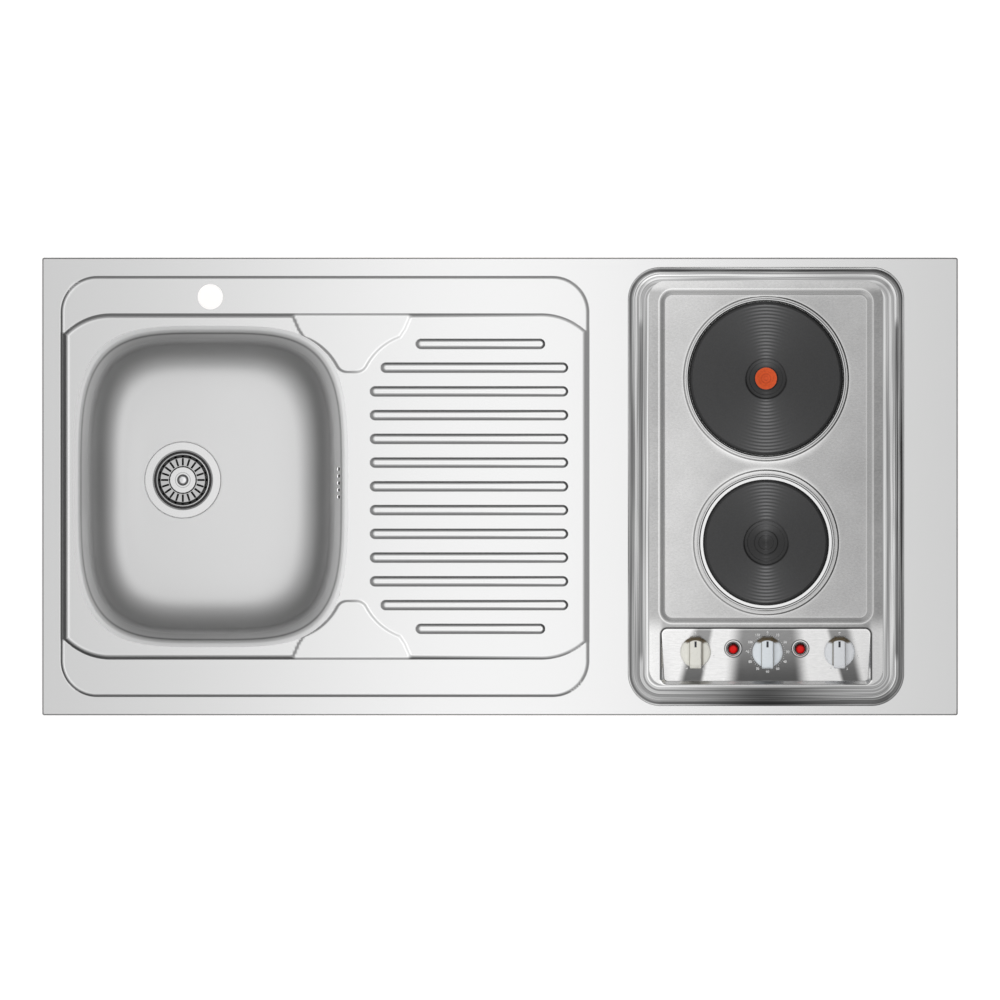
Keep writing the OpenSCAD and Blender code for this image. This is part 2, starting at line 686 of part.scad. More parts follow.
// ring of cement with the heating coil, in the groove under the plate
module heater(y, r) {
    color(ceramic) translate([hob_x, y, plate_bottom])
        flat_ring(heater_in + 0.3, r - heater_edge - 0.3, 0, heater_h);
}

module rear_heater() { heater(rear_y, rear_r); }

module front_heater() { heater(front_y, front_r); }

// thin ring under the plate's edge, with a bead that stops spills
module spill_ring(y, r, bead) {
    color(chrome) translate([hob_x, y, ring_seat]) rotate_extrude($fn = 96)
        polygon([[r - 6, 0], [bead, 0], [bead, 0.9], [bead - 0.5, 1.9], [bead - 1.6, 2.5], [bead - 2.7, 2.2],
            [bead - 3.3, 1.2], [r - 6, 1.2]]);
}

module rear_spill_ring() { spill_ring(rear_y, rear_r, rear_r + 4.2); }

module front_spill_ring() { spill_ring(front_y, front_r, front_r + 7.4); }

// bridge that the plate's stud pulls against, with feet on the tray's floor
module plate_bar(y) {
    foot = tray_z + tray_sheet;
    color(dark_steel) translate([hob_x, y, 0]) difference() {
        rotate([90, 0, 0]) linear_extrude(30, center = true) polygon([[-bar_reach - 16, foot],
            [-bar_reach, foot], [-bar_reach, bar_z], [bar_reach, bar_z], [bar_reach, foot],
            [bar_reach + 16, foot], [bar_reach + 16, foot + 2], [bar_reach + 2, foot + 2],
            [bar_reach + 2, bar_z + 2], [-bar_reach - 2, bar_z + 2], [-bar_reach - 2, foot + 2],
            [-bar_reach - 16, foot + 2]]);
        translate([0, 0, bar_z - 1]) cylinder(r = 3.4, h = 4, $fn = 32);
        for (x = [-1, 1]) translate([x * (bar_reach + 8), 0, foot - 1]) cylinder(r = 2.1, h = 4, $fn = 24);
    }
}

module rear_plate_bar() { plate_bar(rear_y); }

module front_plate_bar() { plate_bar(front_y); }

module plate_nuts() {
    color(chrome) for (y = [rear_y, front_y]) translate([hob_x, y, bar_z - 5]) difference() {
        cylinder(r = 5.8, h = 5, $fn = 6);
        translate([0, 0, -1]) cylinder(r = 3.05, h = 7, $fn = 32);
    }
}

// ceramic block with four tabs under each plate
module terminals(y) {
    color(ceramic) translate([hob_x + 24, y + 18, 0]) {
        translate([0, 0, plate_bottom - 14]) cube([34, 26, 14]);
        for (i = [0 : 3]) translate([4 + i * 8, 10, plate_bottom - 22]) cube([1, 6.3, 9]);
    }
}

module rear_terminals() { terminals(rear_y); }

module front_terminals() { terminals(front_y); }

// ---- controls ----

// plate that hangs from the panel's underside and carries the switches
module control_bracket() {
    color(dark_steel) on_panel() difference() {
        rotate([90, 0, 0]) translate([0, 0, 6]) linear_extrude(54) polygon([[-136, -hob_sheet],
            [-136, bracket_z], [136, bracket_z], [136, -hob_sheet], [134.8, -hob_sheet],
            [134.8, bracket_z + 1.2], [-134.8, bracket_z + 1.2], [-134.8, -hob_sheet]]);
        for (x = dial_at) translate([x, dial_y, bracket_z - 1]) cylinder(r = 5.1, h = 4, $fn = 32);
        for (x = lamp_at) translate([x, lamp_y, bracket_z - 1]) cylinder(r = 8.2, h = 4, $fn = 32);
    }
}

// rotary switch: moulded block, bush through the bracket, two rows of tabs
module switch_body(x) {
    deep = 34;
    on_panel(x, dial_y) difference() {
        union() {
            translate([-20, -17, bracket_z - deep]) cube([40, 34, deep]);
            translate([-20, -12, bracket_z - deep - 4]) cube([40, 24, 5]);
            translate([0, 0, bracket_z - 1]) cylinder(r = 4.9, h = 9);
            for (i = [0 : 3], side = [-1, 1])
                translate([-15.5 + i * 9, side * 8.5 - 0.4, bracket_z - deep - 12]) cube([6.3, 0.8, 9]);
        }
        translate([0, 0, shaft_low]) cylinder(r = shaft_r + 0.05, h = 40);
    }
}

module left_switch() { color(grey_plastic) switch_body(dial_at[0]); }

module right_switch() { color(grey_plastic) switch_body(dial_at[2]); }

// clockwork timer: drum with its gong, bush and tabs
module timer_body() {
    color(white_plastic) on_panel(dial_at[1], dial_y) difference() {
        union() {
            translate([0, 0, bracket_z - 26]) cylinder(r = 24, h = 26);
            translate([0, 0, bracket_z - 40]) cylinder(r1 = 15, r2 = 19, h = 14.5);
            translate([0, 0, bracket_z - 1]) cylinder(r = 4.9, h = 9);
            for (x = [-9, 9]) translate([x - 3.15, -0.4, bracket_z - 48]) cube([6.3, 0.8, 9]);
        }
        translate([0, 0, shaft_low]) cylinder(r = shaft_r + 0.05, h = 40);
    }
}

// flatted shaft, from the switch up into the knob
module shaft(x) {
    color(dark_steel) on_panel(x, dial_y) difference() {
        translate([0, 0, shaft_low]) cylinder(r = shaft_r, h = 13 - shaft_low);
        translate([-5, shaft_r - 0.9, 3]) cube([10, 5, 12]);
    }
}

module left_shaft() { shaft(dial_at[0]); }

module right_shaft() { shaft(dial_at[2]); }

module timer_shaft() { shaft(dial_at[1]); }

grip_w = 15;
grip_top = 19;

// side view of the grip: low at its ends, crowned in the middle
function grip_side() = concat([[-knob_r - 1.5, 2.2], [knob_r + 0.4, 2.2], [knob_r + 0.4, 9]],
    arc(knob_r - 5.6, grip_top - 6, 6, 0, 90, 5), arc(-knob_r + 5, grip_top - 6, 6, 90, 180, 5),
    [[-knob_r - 1.5, 9]]);

// knob: bevelled disc with a gap either side of the moulded grip bar
module knob(x, tone) {
    color(tone) on_panel(x, dial_y) difference() {
        union() {
            rotate_extrude() polygon([[0, 1], [knob_r - 0.8, 1], [knob_r, 1.8], [knob_r, 7.2],
                [knob_r - 1.4, 8.8], [knob_r - 4, 9.4], [0, 9.4]]);
            rotate([90, 0, 90]) linear_extrude(grip_w, center = true) polygon(grip_side());
        }
        for (side = [-1, 1]) translate([side * (grip_w / 2 + 0.5) - 0.5, -knob_r - 5, 8])
            cube([1, 2 * knob_r + 10, 3]);
        difference() {
            translate([0, 0, 0.5]) cylinder(r = shaft_r + 0.02, h = 12.5);
            translate([-5, shaft_r - 0.9, 3]) cube([10, 5, 12]);
        }
        translate([0, 0, 0.5]) flat_ring(7, knob_r - 2.5, 0, 5);
    }
}

module left_knob() { knob(dial_at[0], ivory); }

module right_knob() { knob(dial_at[2], white_plastic); }

module timer_knob() { knob(dial_at[1], [0.84, 0.9, 0.93]); }

// chromed bezel with a sleeve through panel and bracket
module lamp_bezel(x) {
    color(chrome) on_panel(x, lamp_y) rotate_extrude() polygon([[6.6, -12.5], [7.5, -12.5], [7.5, 0], [12, 0],
        [12, 0.8], [10.6, 2.2], [8.4, 2.6], [7, 2.2], [6.6, 1.4]]);
}

module lamp_lens(x) {
    color("red") on_panel(x, lamp_y) rotate_extrude() polygon(concat([[0, -12.5], [6.5, -12.5]],
        [for (a = [0 : 15 : 90]) [6.5 * cos(a), 1.4 + 2.2 * sin(a)]]));
}

module lamp_holder(x) {
    color(white_plastic) on_panel(x, lamp_y) {
        translate([0, 0, -28]) cylinder(r = 7.5, h = 15.5);
        for (y = [-3, 3]) translate([-2.4, y - 0.4, -35]) cube([4.8, 0.8, 8]);
    }
}

module left_lamp_bezel() { lamp_bezel(lamp_at[0]); }

module right_lamp_bezel() { lamp_bezel(lamp_at[1]); }

module left_lamp_lens() { lamp_lens(lamp_at[0]); }

module right_lamp_lens() { lamp_lens(lamp_at[1]); }

module left_lamp_holder() { lamp_holder(lamp_at[0]); }

module right_lamp_holder() { lamp_holder(lamp_at[1]); }

// mains terminals on the tray's floor, beside the gland
module terminal_block() {
    floor = tray_z + tray_sheet;
    color(white_plastic) translate([cable_at[0] - 92, cable_at[1] - 14, floor]) difference() {
        union() {
            cube([62, 28, 10]);
            translate([0, 6, 0]) cube([62, 16, 19]);
        }
        for (i = [0 : 4]) translate([7 + i * 12, 14, 8]) cylinder(r = 3.2, h = 14, $fn = 24);
    }
}

// gland in the tray's floor: hexagon outside, nut inside, bore for the supply cable
module cable_gland() {
    color(rubber) translate([cable_at[0], cable_at[1], tray_z]) difference() {
        union() {
            translate([0, 0, -6]) cylinder(r = 14, h = 6, $fn = 6);
            translate([0, 0, -20]) cylinder(r1 = 9.4, r2 = 11.5, h = 14);
            cylinder(r = 9.9, h = 12);
            translate([0, 0, tray_sheet]) cylinder(r = 14, h = 5, $fn = 6);
        }
        translate([0, 0, -21]) cylinder(r = 6.5, h = 40);
    }
}

worktop();
bowl();
bowl_sound_pad();
rail_front();
rail_rear();
rail_left();
rail_right();
cross_rail_hob();
batten_sink();
batten_middle();
board_rear();
board_front();
board_drainer();
tap_plate();
fixing_angles();
waste_flange();
waste_gasket_upper();
waste_gasket_lower();
waste_body();
waste_screw();
strainer_basket();
basket_seal();
basket_knob();
overflow_collector();
overflow_hose();
hob_top();
hob_gasket();
hob_tray();
tray_screws();
hob_clamps();
clamp_screws();
rear_hotplate();
front_hotplate();
rear_heater();
front_heater();
rear_spill_ring();
front_spill_ring();
rear_plate_bar();
front_plate_bar();
plate_nuts();
rear_terminals();
front_terminals();
control_bracket();
left_switch();
right_switch();
timer_body();
left_shaft();
right_shaft();
timer_shaft();
left_knob();
right_knob();
timer_knob();
left_lamp_bezel();
right_lamp_bezel();
left_lamp_lens();
right_lamp_lens();
left_lamp_holder();
right_lamp_holder();
terminal_block();
cable_gland();
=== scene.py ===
import math

import bpy
import numpy as np
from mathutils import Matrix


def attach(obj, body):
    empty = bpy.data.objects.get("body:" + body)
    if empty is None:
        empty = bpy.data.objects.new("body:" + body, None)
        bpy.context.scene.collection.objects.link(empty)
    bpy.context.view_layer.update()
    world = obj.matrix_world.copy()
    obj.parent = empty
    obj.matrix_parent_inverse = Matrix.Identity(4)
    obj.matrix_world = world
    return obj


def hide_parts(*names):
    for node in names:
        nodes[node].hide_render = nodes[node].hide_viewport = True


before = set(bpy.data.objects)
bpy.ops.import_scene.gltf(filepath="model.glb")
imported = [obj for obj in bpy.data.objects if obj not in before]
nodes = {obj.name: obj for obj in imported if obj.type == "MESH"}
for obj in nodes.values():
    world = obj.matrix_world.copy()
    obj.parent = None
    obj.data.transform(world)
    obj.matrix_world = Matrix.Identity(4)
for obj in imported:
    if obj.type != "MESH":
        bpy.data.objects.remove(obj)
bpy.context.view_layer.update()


ROOT = "kitchen_top"
MM = 0.001


# ---------------- shader maths

def feed(tree, socket, value):
    """Links a value or another socket to a socket, or sets the socket to a plain value."""
    value = getattr(value, "socket", value)
    if isinstance(value, bpy.types.NodeSocket):
        tree.links.new(value, socket)
    else:
        socket.default_value = value


class Value:
    """A node socket that can be used in sums, products and powers."""

    def __init__(self, tree, socket):
        self.tree = tree
        self.socket = socket

    def math(self, operation, *others):
        node = self.tree.nodes.new("ShaderNodeMath")
        node.operation = operation
        for slot, item in zip(node.inputs, (self,) + others):
            feed(self.tree, slot, item)
        return Value(self.tree, node.outputs[0])

    def __add__(self, other):
        return self.math("ADD", other)

    __radd__ = __add__

    def __mul__(self, other):
        return self.math("MULTIPLY", other)

    __rmul__ = __mul__

    def __sub__(self, other):
        return self.math("SUBTRACT", other)

    def __rsub__(self, other):
        return (self * -1.0) + other

    def __truediv__(self, other):
        return self.math("DIVIDE", other)

    def __pow__(self, other):
        return self.math("POWER", other)

    def size(self):
        return self.math("ABSOLUTE")

    def least(self, other):
        return self.math("MINIMUM", other)

    def most(self, other):
        return self.math("MAXIMUM", other)

    def bell(self, centre, width):
        """1 at the centre, falling as exp(-((v - centre) / width)^2)."""
        t = (self - centre) / width
        return (t * t * -1.0).math("EXPONENT")

    def above(self, low, high):
        """0 up to low, 1 from high on, smooth in between; where low is the larger, 1 up to high and 0 from low on."""
        t = ((self - low) / (high - low)).least(1.0).most(0.0)
        return t * t * (3.0 - 2.0 * t)

    def inside(self, low, high, soft):
        """1 between low and high with soft edges."""
        return self.above(low - soft, low + soft) * (1.0 - self.above(high - soft, high + soft))


class Paint:
    """A material with its principled shader and the helpers that build its inputs."""

    def __init__(self, name, colour, rough=0.5, metal=0.0, coat=0.0, coat_rough=0.1):
        self.material = bpy.data.materials.new(name)
        self.material.use_nodes = True
        self.tree = self.material.node_tree
        self.shader = self.tree.nodes["Principled BSDF"]
        for key, value in (("Base Color", (*colour, 1.0)), ("Roughness", rough), ("Metallic", metal),
                           ("Coat Weight", coat), ("Coat Roughness", coat_rough)):
            self.set(key, value)

    def node(self, kind, **inputs):
        made = self.tree.nodes.new(kind)
        for key, value in inputs.items():
            feed(self.tree, made.inputs[key], value)
        return made

    def set(self, name, value):
        feed(self.tree, self.shader.inputs[name], value)

    def place(self, scale=(1.0, 1.0, 1.0)):
        """Object coordinates, scaled."""
        coords = self.node("ShaderNodeTexCoord").outputs["Object"]
        return self.node("ShaderNodeMapping", Vector=coords, Scale=scale).outputs[0]

    def xyz(self):
        """The three object coordinates as values, in metres."""
        parts = self.node("ShaderNodeSeparateXYZ", Vector=self.place())
        return [Value(self.tree, parts.outputs[i]) for i in range(3)]

    def around(self, centre):
        """X and y from the vertical line through centre, and the distance from it, in millimetres."""
        x, y, _ = self.xyz()
        x, y = (x - centre[0] * MM) / MM, (y - centre[1] * MM) / MM
        return x, y, (x * x + y * y).math("SQRT")

    def cloud(self, place, detail, rough=0.5):
        """Noise about 0.5 at a place, with grains about one unit long."""
        made = self.node("ShaderNodeTexNoise", Vector=place, Scale=1.0, Detail=detail, Roughness=rough)
        return Value(self.tree, made.outputs[0])

    def noise(self, size, detail=3.0, rough=0.5, stretch=(1.0, 1.0, 1.0)):
        """Noise about 0.5 whose grains are size metres long, longer along an axis with stretch over 1."""
        return self.cloud(self.place(tuple(1.0 / (size * s) for s in stretch)), detail, rough)

    def blend(self, share, first, second):
        """Gives the surface a colour between two colours."""
        made = self.node("ShaderNodeMix")
        made.data_type = "RGBA"
        for slot, value in ((0, share), (6, (*first, 1.0)), (7, (*second, 1.0))):
            feed(self.tree, made.inputs[slot], value)
        self.set("Base Color", made.outputs[2])

    def shade(self, tone, tint=(1.0, 1.0, 1.0)):
        """Gives the surface a colour between black and the tint."""
        self.blend(tone, (0.0, 0.0, 0.0), tint)

    def glow(self, strength):
        """Lets the surface give off white light."""
        self.set("Emission Color", (1.0, 1.0, 1.0, 1.0))
        self.set("Emission Strength", strength)

    def uneven(self, rough, amount, size=0.09, detail=3.0):
        """Gives the surface a roughness that wavers about its mean by a noise."""
        self.set("Roughness", (self.noise(size, detail) - 0.5) * amount + rough)

    def bump(self, height, depth):
        """Bumps the surface by a height between 0 and 1 times depth metres."""
        self.set("Normal", self.node("ShaderNodeBump", Height=height, Distance=depth, Strength=1.0).outputs[0])


# ---------------- surfaces

def sin(angle):
    """Sine of an angle in degrees."""
    return math.sin(math.radians(angle))


def cos(angle):
    """Cosine of an angle in degrees."""
    return math.cos(math.radians(angle))


def smooth(t):
    """The S curve 3t^2 - 2t^3 between 0 and 1."""
    t = np.clip(t, 0.0, 1.0)
    return t * t * (3 - 2 * t)


def soft_min(a, b, blend):
    """The lower of two heights, with the crease where they cross rounded over a height of blend."""
    share = np.clip(0.5 + 0.5 * (b - a) / blend, 0, 1)
    return b * (1 - share) + a * share - blend * share * (1 - share)


def soft_max(a, b, blend):
    """The higher of two heights, with the crease where they cross rounded over a height of blend."""
    return -soft_min(-a, -b, blend)


def placed(name, data):
    """A new object in the scene that holds the data."""
    made = bpy.data.objects.new(name, data)
    bpy.context.collection.objects.link(made)
    return made


def make_object(name, surface, paint, body=ROOT, flat=False):
    """A mesh object riding on a body, from a surface: points in millimetres in the row frame, faces and,
    where the surface has its own, a normal for each point."""
    points, faces, *normals = surface
    points = np.asarray(points, float) * MM
    faces = np.asarray(faces, np.int32)
    mesh = bpy.data.meshes.new(name)
    count, corners = faces.shape
    mesh.vertices.add(len(points))
    mesh.vertices.foreach_set("co", points.ravel())
    mesh.loops.add(count * corners)
    mesh.loops.foreach_set("vertex_index", faces.ravel())
    mesh.polygons.add(count)
    mesh.polygons.foreach_set("loop_start", np.arange(count, dtype=np.int32) * corners)
    mesh.polygons.foreach_set("use_smooth", np.full(count, not flat))
    mesh.update(calc_edges=True)
    mesh.validate(clean_customdata=False)
    if normals:
        mesh.normals_split_custom_set_from_vertices(normals[0].tolist())
    mesh.materials.append(paint.material)
    made = placed(name, mesh)
    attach(made, body)
    return made


def grid_faces(rows, columns, wrap=False, flip=False):
    """Quads over rows x columns points; wrap joins the last column to the first."""
    i, j = np.meshgrid(np.arange(rows - 1), np.arange(columns if wrap else columns - 1), indexing="ij")
    k = (j + 1) % columns
    quads = np.stack([i * columns + j, i * columns + k, (i + 1) * columns + k, (i + 1) * columns + j], -1)
    quads = quads.reshape(-1, 4)
    return quads[:, ::-1] if flip else quads


def joined(parts):
    """One list of points and one of faces from several (points, faces) pairs."""
    points, faces, start = [], [], 0
    for p, f in parts:
        p = np.asarray(p, float).reshape(-1, 3)
        points.append(p)
        faces.append(np.asarray(f) + start)
        start += len(p)
    return np.vstack(points), np.vstack(faces)


SLOPE_STEP, NUDGE, MOVES = 0.05, 0.01, 4
BORDER_REACH, LEAST_SLOPE = 6.0, 0.2


def slopes(field, x, y, step):
    """Slopes of a field along x and y, over a small step to both sides."""
    return ((field(x + step, y) - field(x - step, y)) / (2 * step),
            (field(x, y + step) - field(x, y - step)) / (2 * step))


def field_normals(x, y, height):
    """Unit normals of z = height(x, y)."""
    slope_x, slope_y = slopes(height, x, y, SLOPE_STEP)
    normals = np.stack([-slope_x, -slope_y, np.ones_like(x)], 1)
    return normals / np.linalg.norm(normals, axis=1)[:, None]


def sheet(xs, ys, inside, height):
    """Height field z = height(x, y) over the grid of the lines xs and ys, kept where inside(x, y) is
    negative; the points along its border are moved down the slope of inside until they lie on its zero line."""
    x, y = (a.ravel() for a in np.meshgrid(xs, ys, indexing="ij"))
    quads = grid_faces(len(xs), len(ys), flip=True)
    whole = np.bincount(quads.ravel(), minlength=len(x))
    quads = quads[inside(x[quads].mean(1), y[quads].mean(1)) < 0]
    used = np.bincount(quads.ravel(), minlength=len(x))
    gap = inside(x, y)
    border = (used > 0) & ((used < whole) | (gap > 0)) & (np.abs(gap) < BORDER_REACH)
    bx, by = x[border], y[border]
    for _ in range(MOVES):
        d = inside(bx, by)
        gx, gy = slopes(inside, bx, by, NUDGE)
        length = np.maximum(gx * gx + gy * gy, LEAST_SLOPE)
        bx, by = bx - d * gx / length, by - d * gy / length
    x[border], y[border] = bx, by
    keep = np.flatnonzero(used)
    number = np.full(len(x), -1)
    number[keep] = np.arange(len(keep))
    x, y = x[keep], y[keep]
    return np.stack([x, y, height(x, y)], 1), number[quads], field_normals(x, y, height)


def lines(low, high, coarse, *dense):
    """Grid lines from low to high at the coarse spacing, with finer spacing inside each (from, to, spacing)."""
    marks = [low]
    while marks[-1] < high - 1e-6:
        here = marks[-1]
        step = coarse
        for a, b, fine in dense:
            if a - 1e-6 <= here < b:
                step = min(step, fine)
            elif here < a:
                step = min(step, max(a - here, fine))
        marks.append(min(here + step, high))
    if len(marks) > 2 and marks[-1] - marks[-2] < 0.05:
        del marks[-2]
    return np.array(marks)


def box_distance(x, y, left, right, front, back, radius):
    """Signed distance to a rounded rectangle, negative inside."""
    cx, cy = (left + right) / 2, (front + back) / 2
    dx = np.abs(x - cx) - (right - left) / 2 + radius
    dy = np.abs(y - cy) - (back - front) / 2 + radius
    outer = np.hypot(np.maximum(dx, 0), np.maximum(dy, 0))
    return outer + np.minimum(np.maximum(dx, dy), 0) - radius


def circle(x, y, r, a):
    """Points round a point at the angles a in radians."""
    return np.stack([x + r * np.cos(a), y + r * np.sin(a)], 1)


def arc(x, y, r, start, end, count):
    """Points on a circle from one angle to another, in degrees."""
    return circle(x, y, r, np.radians(np.linspace(start, end, count)))


def level(ring, z):
    """The points of a flat ring at the height z."""
    return np.column_stack([ring, np.full(len(ring), z)])


def rounded_ring(left, right, front, back, radius, count):
    """Points round a rounded rectangle, counter-clockwise from its right side, count on each corner."""
    corners = ((right - radius, back - radius, 0), (left + radius, back - radius, 90),
               (left + radius, front + radius, 180), (right - radius, front + radius, 270))
    return np.vstack([arc(x, y, radius, start, start + 90, count) for x, y, start in corners])


def lathe(profile, count, centre=(0.0, 0.0, 0.0), flip=True):
    """Surface of revolution: the (radius, z) points of the profile turned about a vertical line through centre."""
    profile = np.asarray(profile, float)
    a = 2 * np.pi * np.arange(count) / count
    r, z = profile[:, :1], profile[:, 1:]
    points = np.stack([r * np.cos(a), r * np.sin(a), z + 0 * a], -1).reshape(-1, 3)
    return points + centre, grid_faces(len(profile), count, wrap=True, flip=flip)


def tilted(surface, centre):
    """A surface turned about the X axis as the control panel is, then moved to centre."""
    x, y, z = np.asarray(surface[0], float).T
    points = np.stack([x, y * cos(TILT) - z * sin(TILT), y * sin(TILT) + z * cos(TILT)], 1)
    return (points + centre, *surface[1:])


def rounded_profile(corners, radius):
    """A (radius, z) profile with each inner corner replaced by a curve that starts and ends radius away."""
    corners = np.asarray(corners, float)

    def beside(corner, other):
        gap = np.linalg.norm(other - corner)
        return corner + (other - corner) / max(gap, 1e-9) * min(radius, gap * 0.45)

    out = [corners[0]]
    for a, b, c in zip(corners[:-2], corners[1:-1], corners[2:]):
        p, q = beside(b, a), beside(b, c)
        for t in np.linspace(0, 1, 5):
            out.append((1 - t) ** 2 * p + 2 * t * (1 - t) * b + t * t * q)
    out.append(corners[-1])
    return np.array(out)


# ---------------- materials

def brushed(name, colour, rough, cloud=0.04):
    """Steel with a faint cloudiness."""
    paint = Paint(name, colour, rough, 1.0)
    paint.uneven(rough, cloud)
    return paint


worktop_steel = brushed("worktop_steel", (0.80, 0.80, 0.80), 0.19, 0.02)
# The folded edge is the same steel as the top, with a darker colour as painted shade.
shaded_edge_steel = brushed("shaded_edge_steel", (0.50, 0.50, 0.50), 0.24, 0.03)
ring_steel = brushed("ring_steel", (0.88, 0.88, 0.88), 0.14)
chrome = Paint("chrome", (0.82, 0.82, 0.83), 0.10, 1.0)
zinc = brushed("zinc_steel", (0.55, 0.56, 0.58), 0.42, 0.2)
screw_steel = brushed("screw_steel", (0.62, 0.63, 0.64), 0.32)
print_white = Paint("print_white", (0.85, 0.85, 0.85), 0.6)
print_dark = Paint("print_dark", (0.02, 0.02, 0.03), 0.5)


def turned_paint(name, centre, bands, shade_below=-1000.0):
    """Polished steel with painted reflections and shade in rings by the radius from a vertical line, as (from, to,
    tone) in millimetres, and painted shade below a given height."""
    paint = Paint(name, (0.84, 0.84, 0.84), 0.14, 1.0)
    radius = paint.around(centre)[2]
    tone = 0.84
    # Painted reflections and shade: each band sets the tone between its radii.
    for low, high, band in bands:
        tone = (band - tone) * radius.inside(low, high, 0.3) + tone
    # Painted shade below the given height, down in the waste.
    paint.shade(0.02 + (tone - 0.02) * paint.xyz()[2].above((shade_below - 1.0) * MM, shade_below * MM))
    return paint


DRAIN = (-415.5, 8.5)
# Painted reflections and shade of the waste in rings by radius: the flange's dark ring and the strainer's bands.
BASKET_SHADE_BANDS = ((28.8, 33.2, 0.14), (18.2, 28.8, 0.60), (9.4, 10.2, 0.45), (5.2, 7.5, 0.10))
flange_steel = turned_paint("flange_steel", DRAIN, ((34.6, 37.7, 0.05),), -122.6)
basket_steel = turned_paint("basket_steel", DRAIN, BASKET_SHADE_BANDS, -132.0)


def wood(name, stretch):
    """Planed softwood: streaks of darker grain along one axis."""
    light, dark = (0.66, 0.48, 0.29), (0.46, 0.29, 0.15)
    paint = Paint(name, light, 0.62)
    grain = paint.noise(0.05, 5.0, 0.6, stretch)
    paint.blend(grain.above(0.35, 0.7), light, dark)
    paint.bump(grain, 0.0004)
    return paint


timber_x = wood("timber_x", (12.0, 1.0, 1.0))
timber_y = wood("timber_y", (1.0, 12.0, 1.0))


def chips():
    """Raw chipboard: coarse flakes of several tones."""
    paint = Paint("chipboard", (0.55, 0.42, 0.27), 0.8)
    flakes = paint.node("ShaderNodeTexVoronoi", Vector=paint.place(), Scale=260.0)
    tone = Value(paint.tree, flakes.outputs["Distance"])
    paint.blend(tone.above(0.1, 0.7), (0.62, 0.47, 0.30), (0.36, 0.25, 0.14))
    paint.bump(tone, 0.0003)
    return paint


chipboard = chips()
RING_PITCH = 4.5


def iron(name, centre, hub, edge):
    """Blackened cast iron, turned, with painted light: fine rings about its centre shown in two painted highlight fans
    over a broad painted sheen, a hub with a painted highlight at its back and a painted shadow line along its front
    edge, and a black edge."""
    paint = Paint(name, (0.055, 0.055, 0.057), 0.36, 0.4)
    x, y, radius = paint.around(centre)
    rings = (radius * (2 * math.pi / RING_PITCH)).math("SINE") * 0.5 + 0.5
    side = x.size() / radius.most(1.0)
    inner = radius.above(hub, hub - 1.0)
    # Painted highlights: two fans through the centre with ring lines in them, over a broad painted sheen.
    highlight_fan = side.bell(0.0, 0.21) * (1.0 - inner * 0.6)
    sheen_haze = side.bell(0.0, 0.62)
    speck = paint.noise(0.0016, 2.0) - 0.5
    tone = 0.044 + sheen_haze * 0.026 + highlight_fan * (rings * 0.15 - 0.02) + speck * 0.018
    # Painted highlight at the back of the hub.
    tone = tone * (1.0 - inner * 0.45) + inner * (y / hub).above(-0.3, 1.0) * side.bell(0.0, 0.7) * 0.055
    tone = tone * (1.0 - radius.above(edge - 3.0, edge - 1.5) * 0.7)
    # Painted shadow line along the front of the hub's edge.
    tone = tone * (1.0 - radius.bell(hub, 1.0) * y.above(8.0, -8.0) * 0.8)
    paint.shade(tone.most(0.0), (1.0, 1.0, 1.02))
    paint.uneven(0.41, 0.10, 0.004, 4.0)
    return paint


def knob_paint(name, colour, centre, bar_shadows):
    """Satin plastic of a knob: painted shadow lines beside its grip bar, as (from, to) in millimetres from its middle,
    and a painted brown shadow crescent at the upper edge."""
    paint = Paint(name, colour, 0.28, 0.0, 0.3, 0.15)
    paint.uneven(0.28, 0.06, 0.004)
    x, y, radius = paint.around(centre)
    # Painted shadow lines beside the grip bar, and a painted shadow crescent near the top of the disc.
    groove = 0.0
    for low, high in bar_shadows:
        groove = x.inside(low, high, 0.35) + groove
    groove = groove * radius.above(20.3, 19.3)
    crescent = radius.above(14.2, 15.8) * (y - x.size() * 0.35).above(5.5, 10.0)
    shade = (groove * 0.62 + crescent).least(1.0)
    paint.blend(shade, colour, (0.11, 0.08, 0.04))
    return paint


# ---------------- worktop

# Rounded rectangles are (left, right, front, back, corner radius).
OUTLINE = (-600.0, 600.0, -300.0, 300.0)
LEDGE = (-574.0, 115.0, -274.0, 274.0, 46.0)
SINK = (-593.0, 137.0, -224.0, 224.0, 83.0)
TOP_Z, LEDGE_Z, SURROUND_Z, ISLAND_Z = 38.0, 36.0, 33.0, 34.5
BOWL_X, BOWL_A, BOWL_B, BOWL_N = -378.5, 175.0, 206.0, 3.8
SEAT_OUT = 4.5
ISLAND_X, ISLAND_WIDE, ISLAND_FROM = -194.3, 110, 130
TAP, TAP_R = (-379.5, 248.5), 16.5
HOB_X = 348.5
TILT = 3.0


def bowl_distance(x, y, inset):
    """About the distance to the bowl's superellipse, taken in by inset; negative inside."""
    a, b = BOWL_A - inset, BOWL_B - inset
    u, v = np.abs(x - BOWL_X) + 1e-6, np.abs(y) + 1e-6
    r = np.hypot(u, v)
    edge = ((u / r / a) ** BOWL_N + (v / r / b) ** BOWL_N) ** (-1 / BOWL_N)
    return r - edge


def floor_height(x):
    """Height of the sink surround, which rises along the drainer."""
    return SURROUND_Z + 1.2 * np.clip((x + 190) / 305, 0, 1)


def island_line():
    """Middle line of the wall round an island, about its own axis: a flank that runs out to the back, a
    hollow that follows the bowl's corner, and a rounded tip, mirrored left to right."""
    half = np.vstack([arc(90.7, 120, 81, 151.4, 110, 30), [(69.5, 206), (76.5, 222), (76.5, 320)]])
    return np.vstack([half, half[::-1] * [-1, 1], arc(-5.9, 165, 15, 208, 270, 12), arc(5.9, 165, 15, 270, 332, 12)])


ISLAND = island_line()


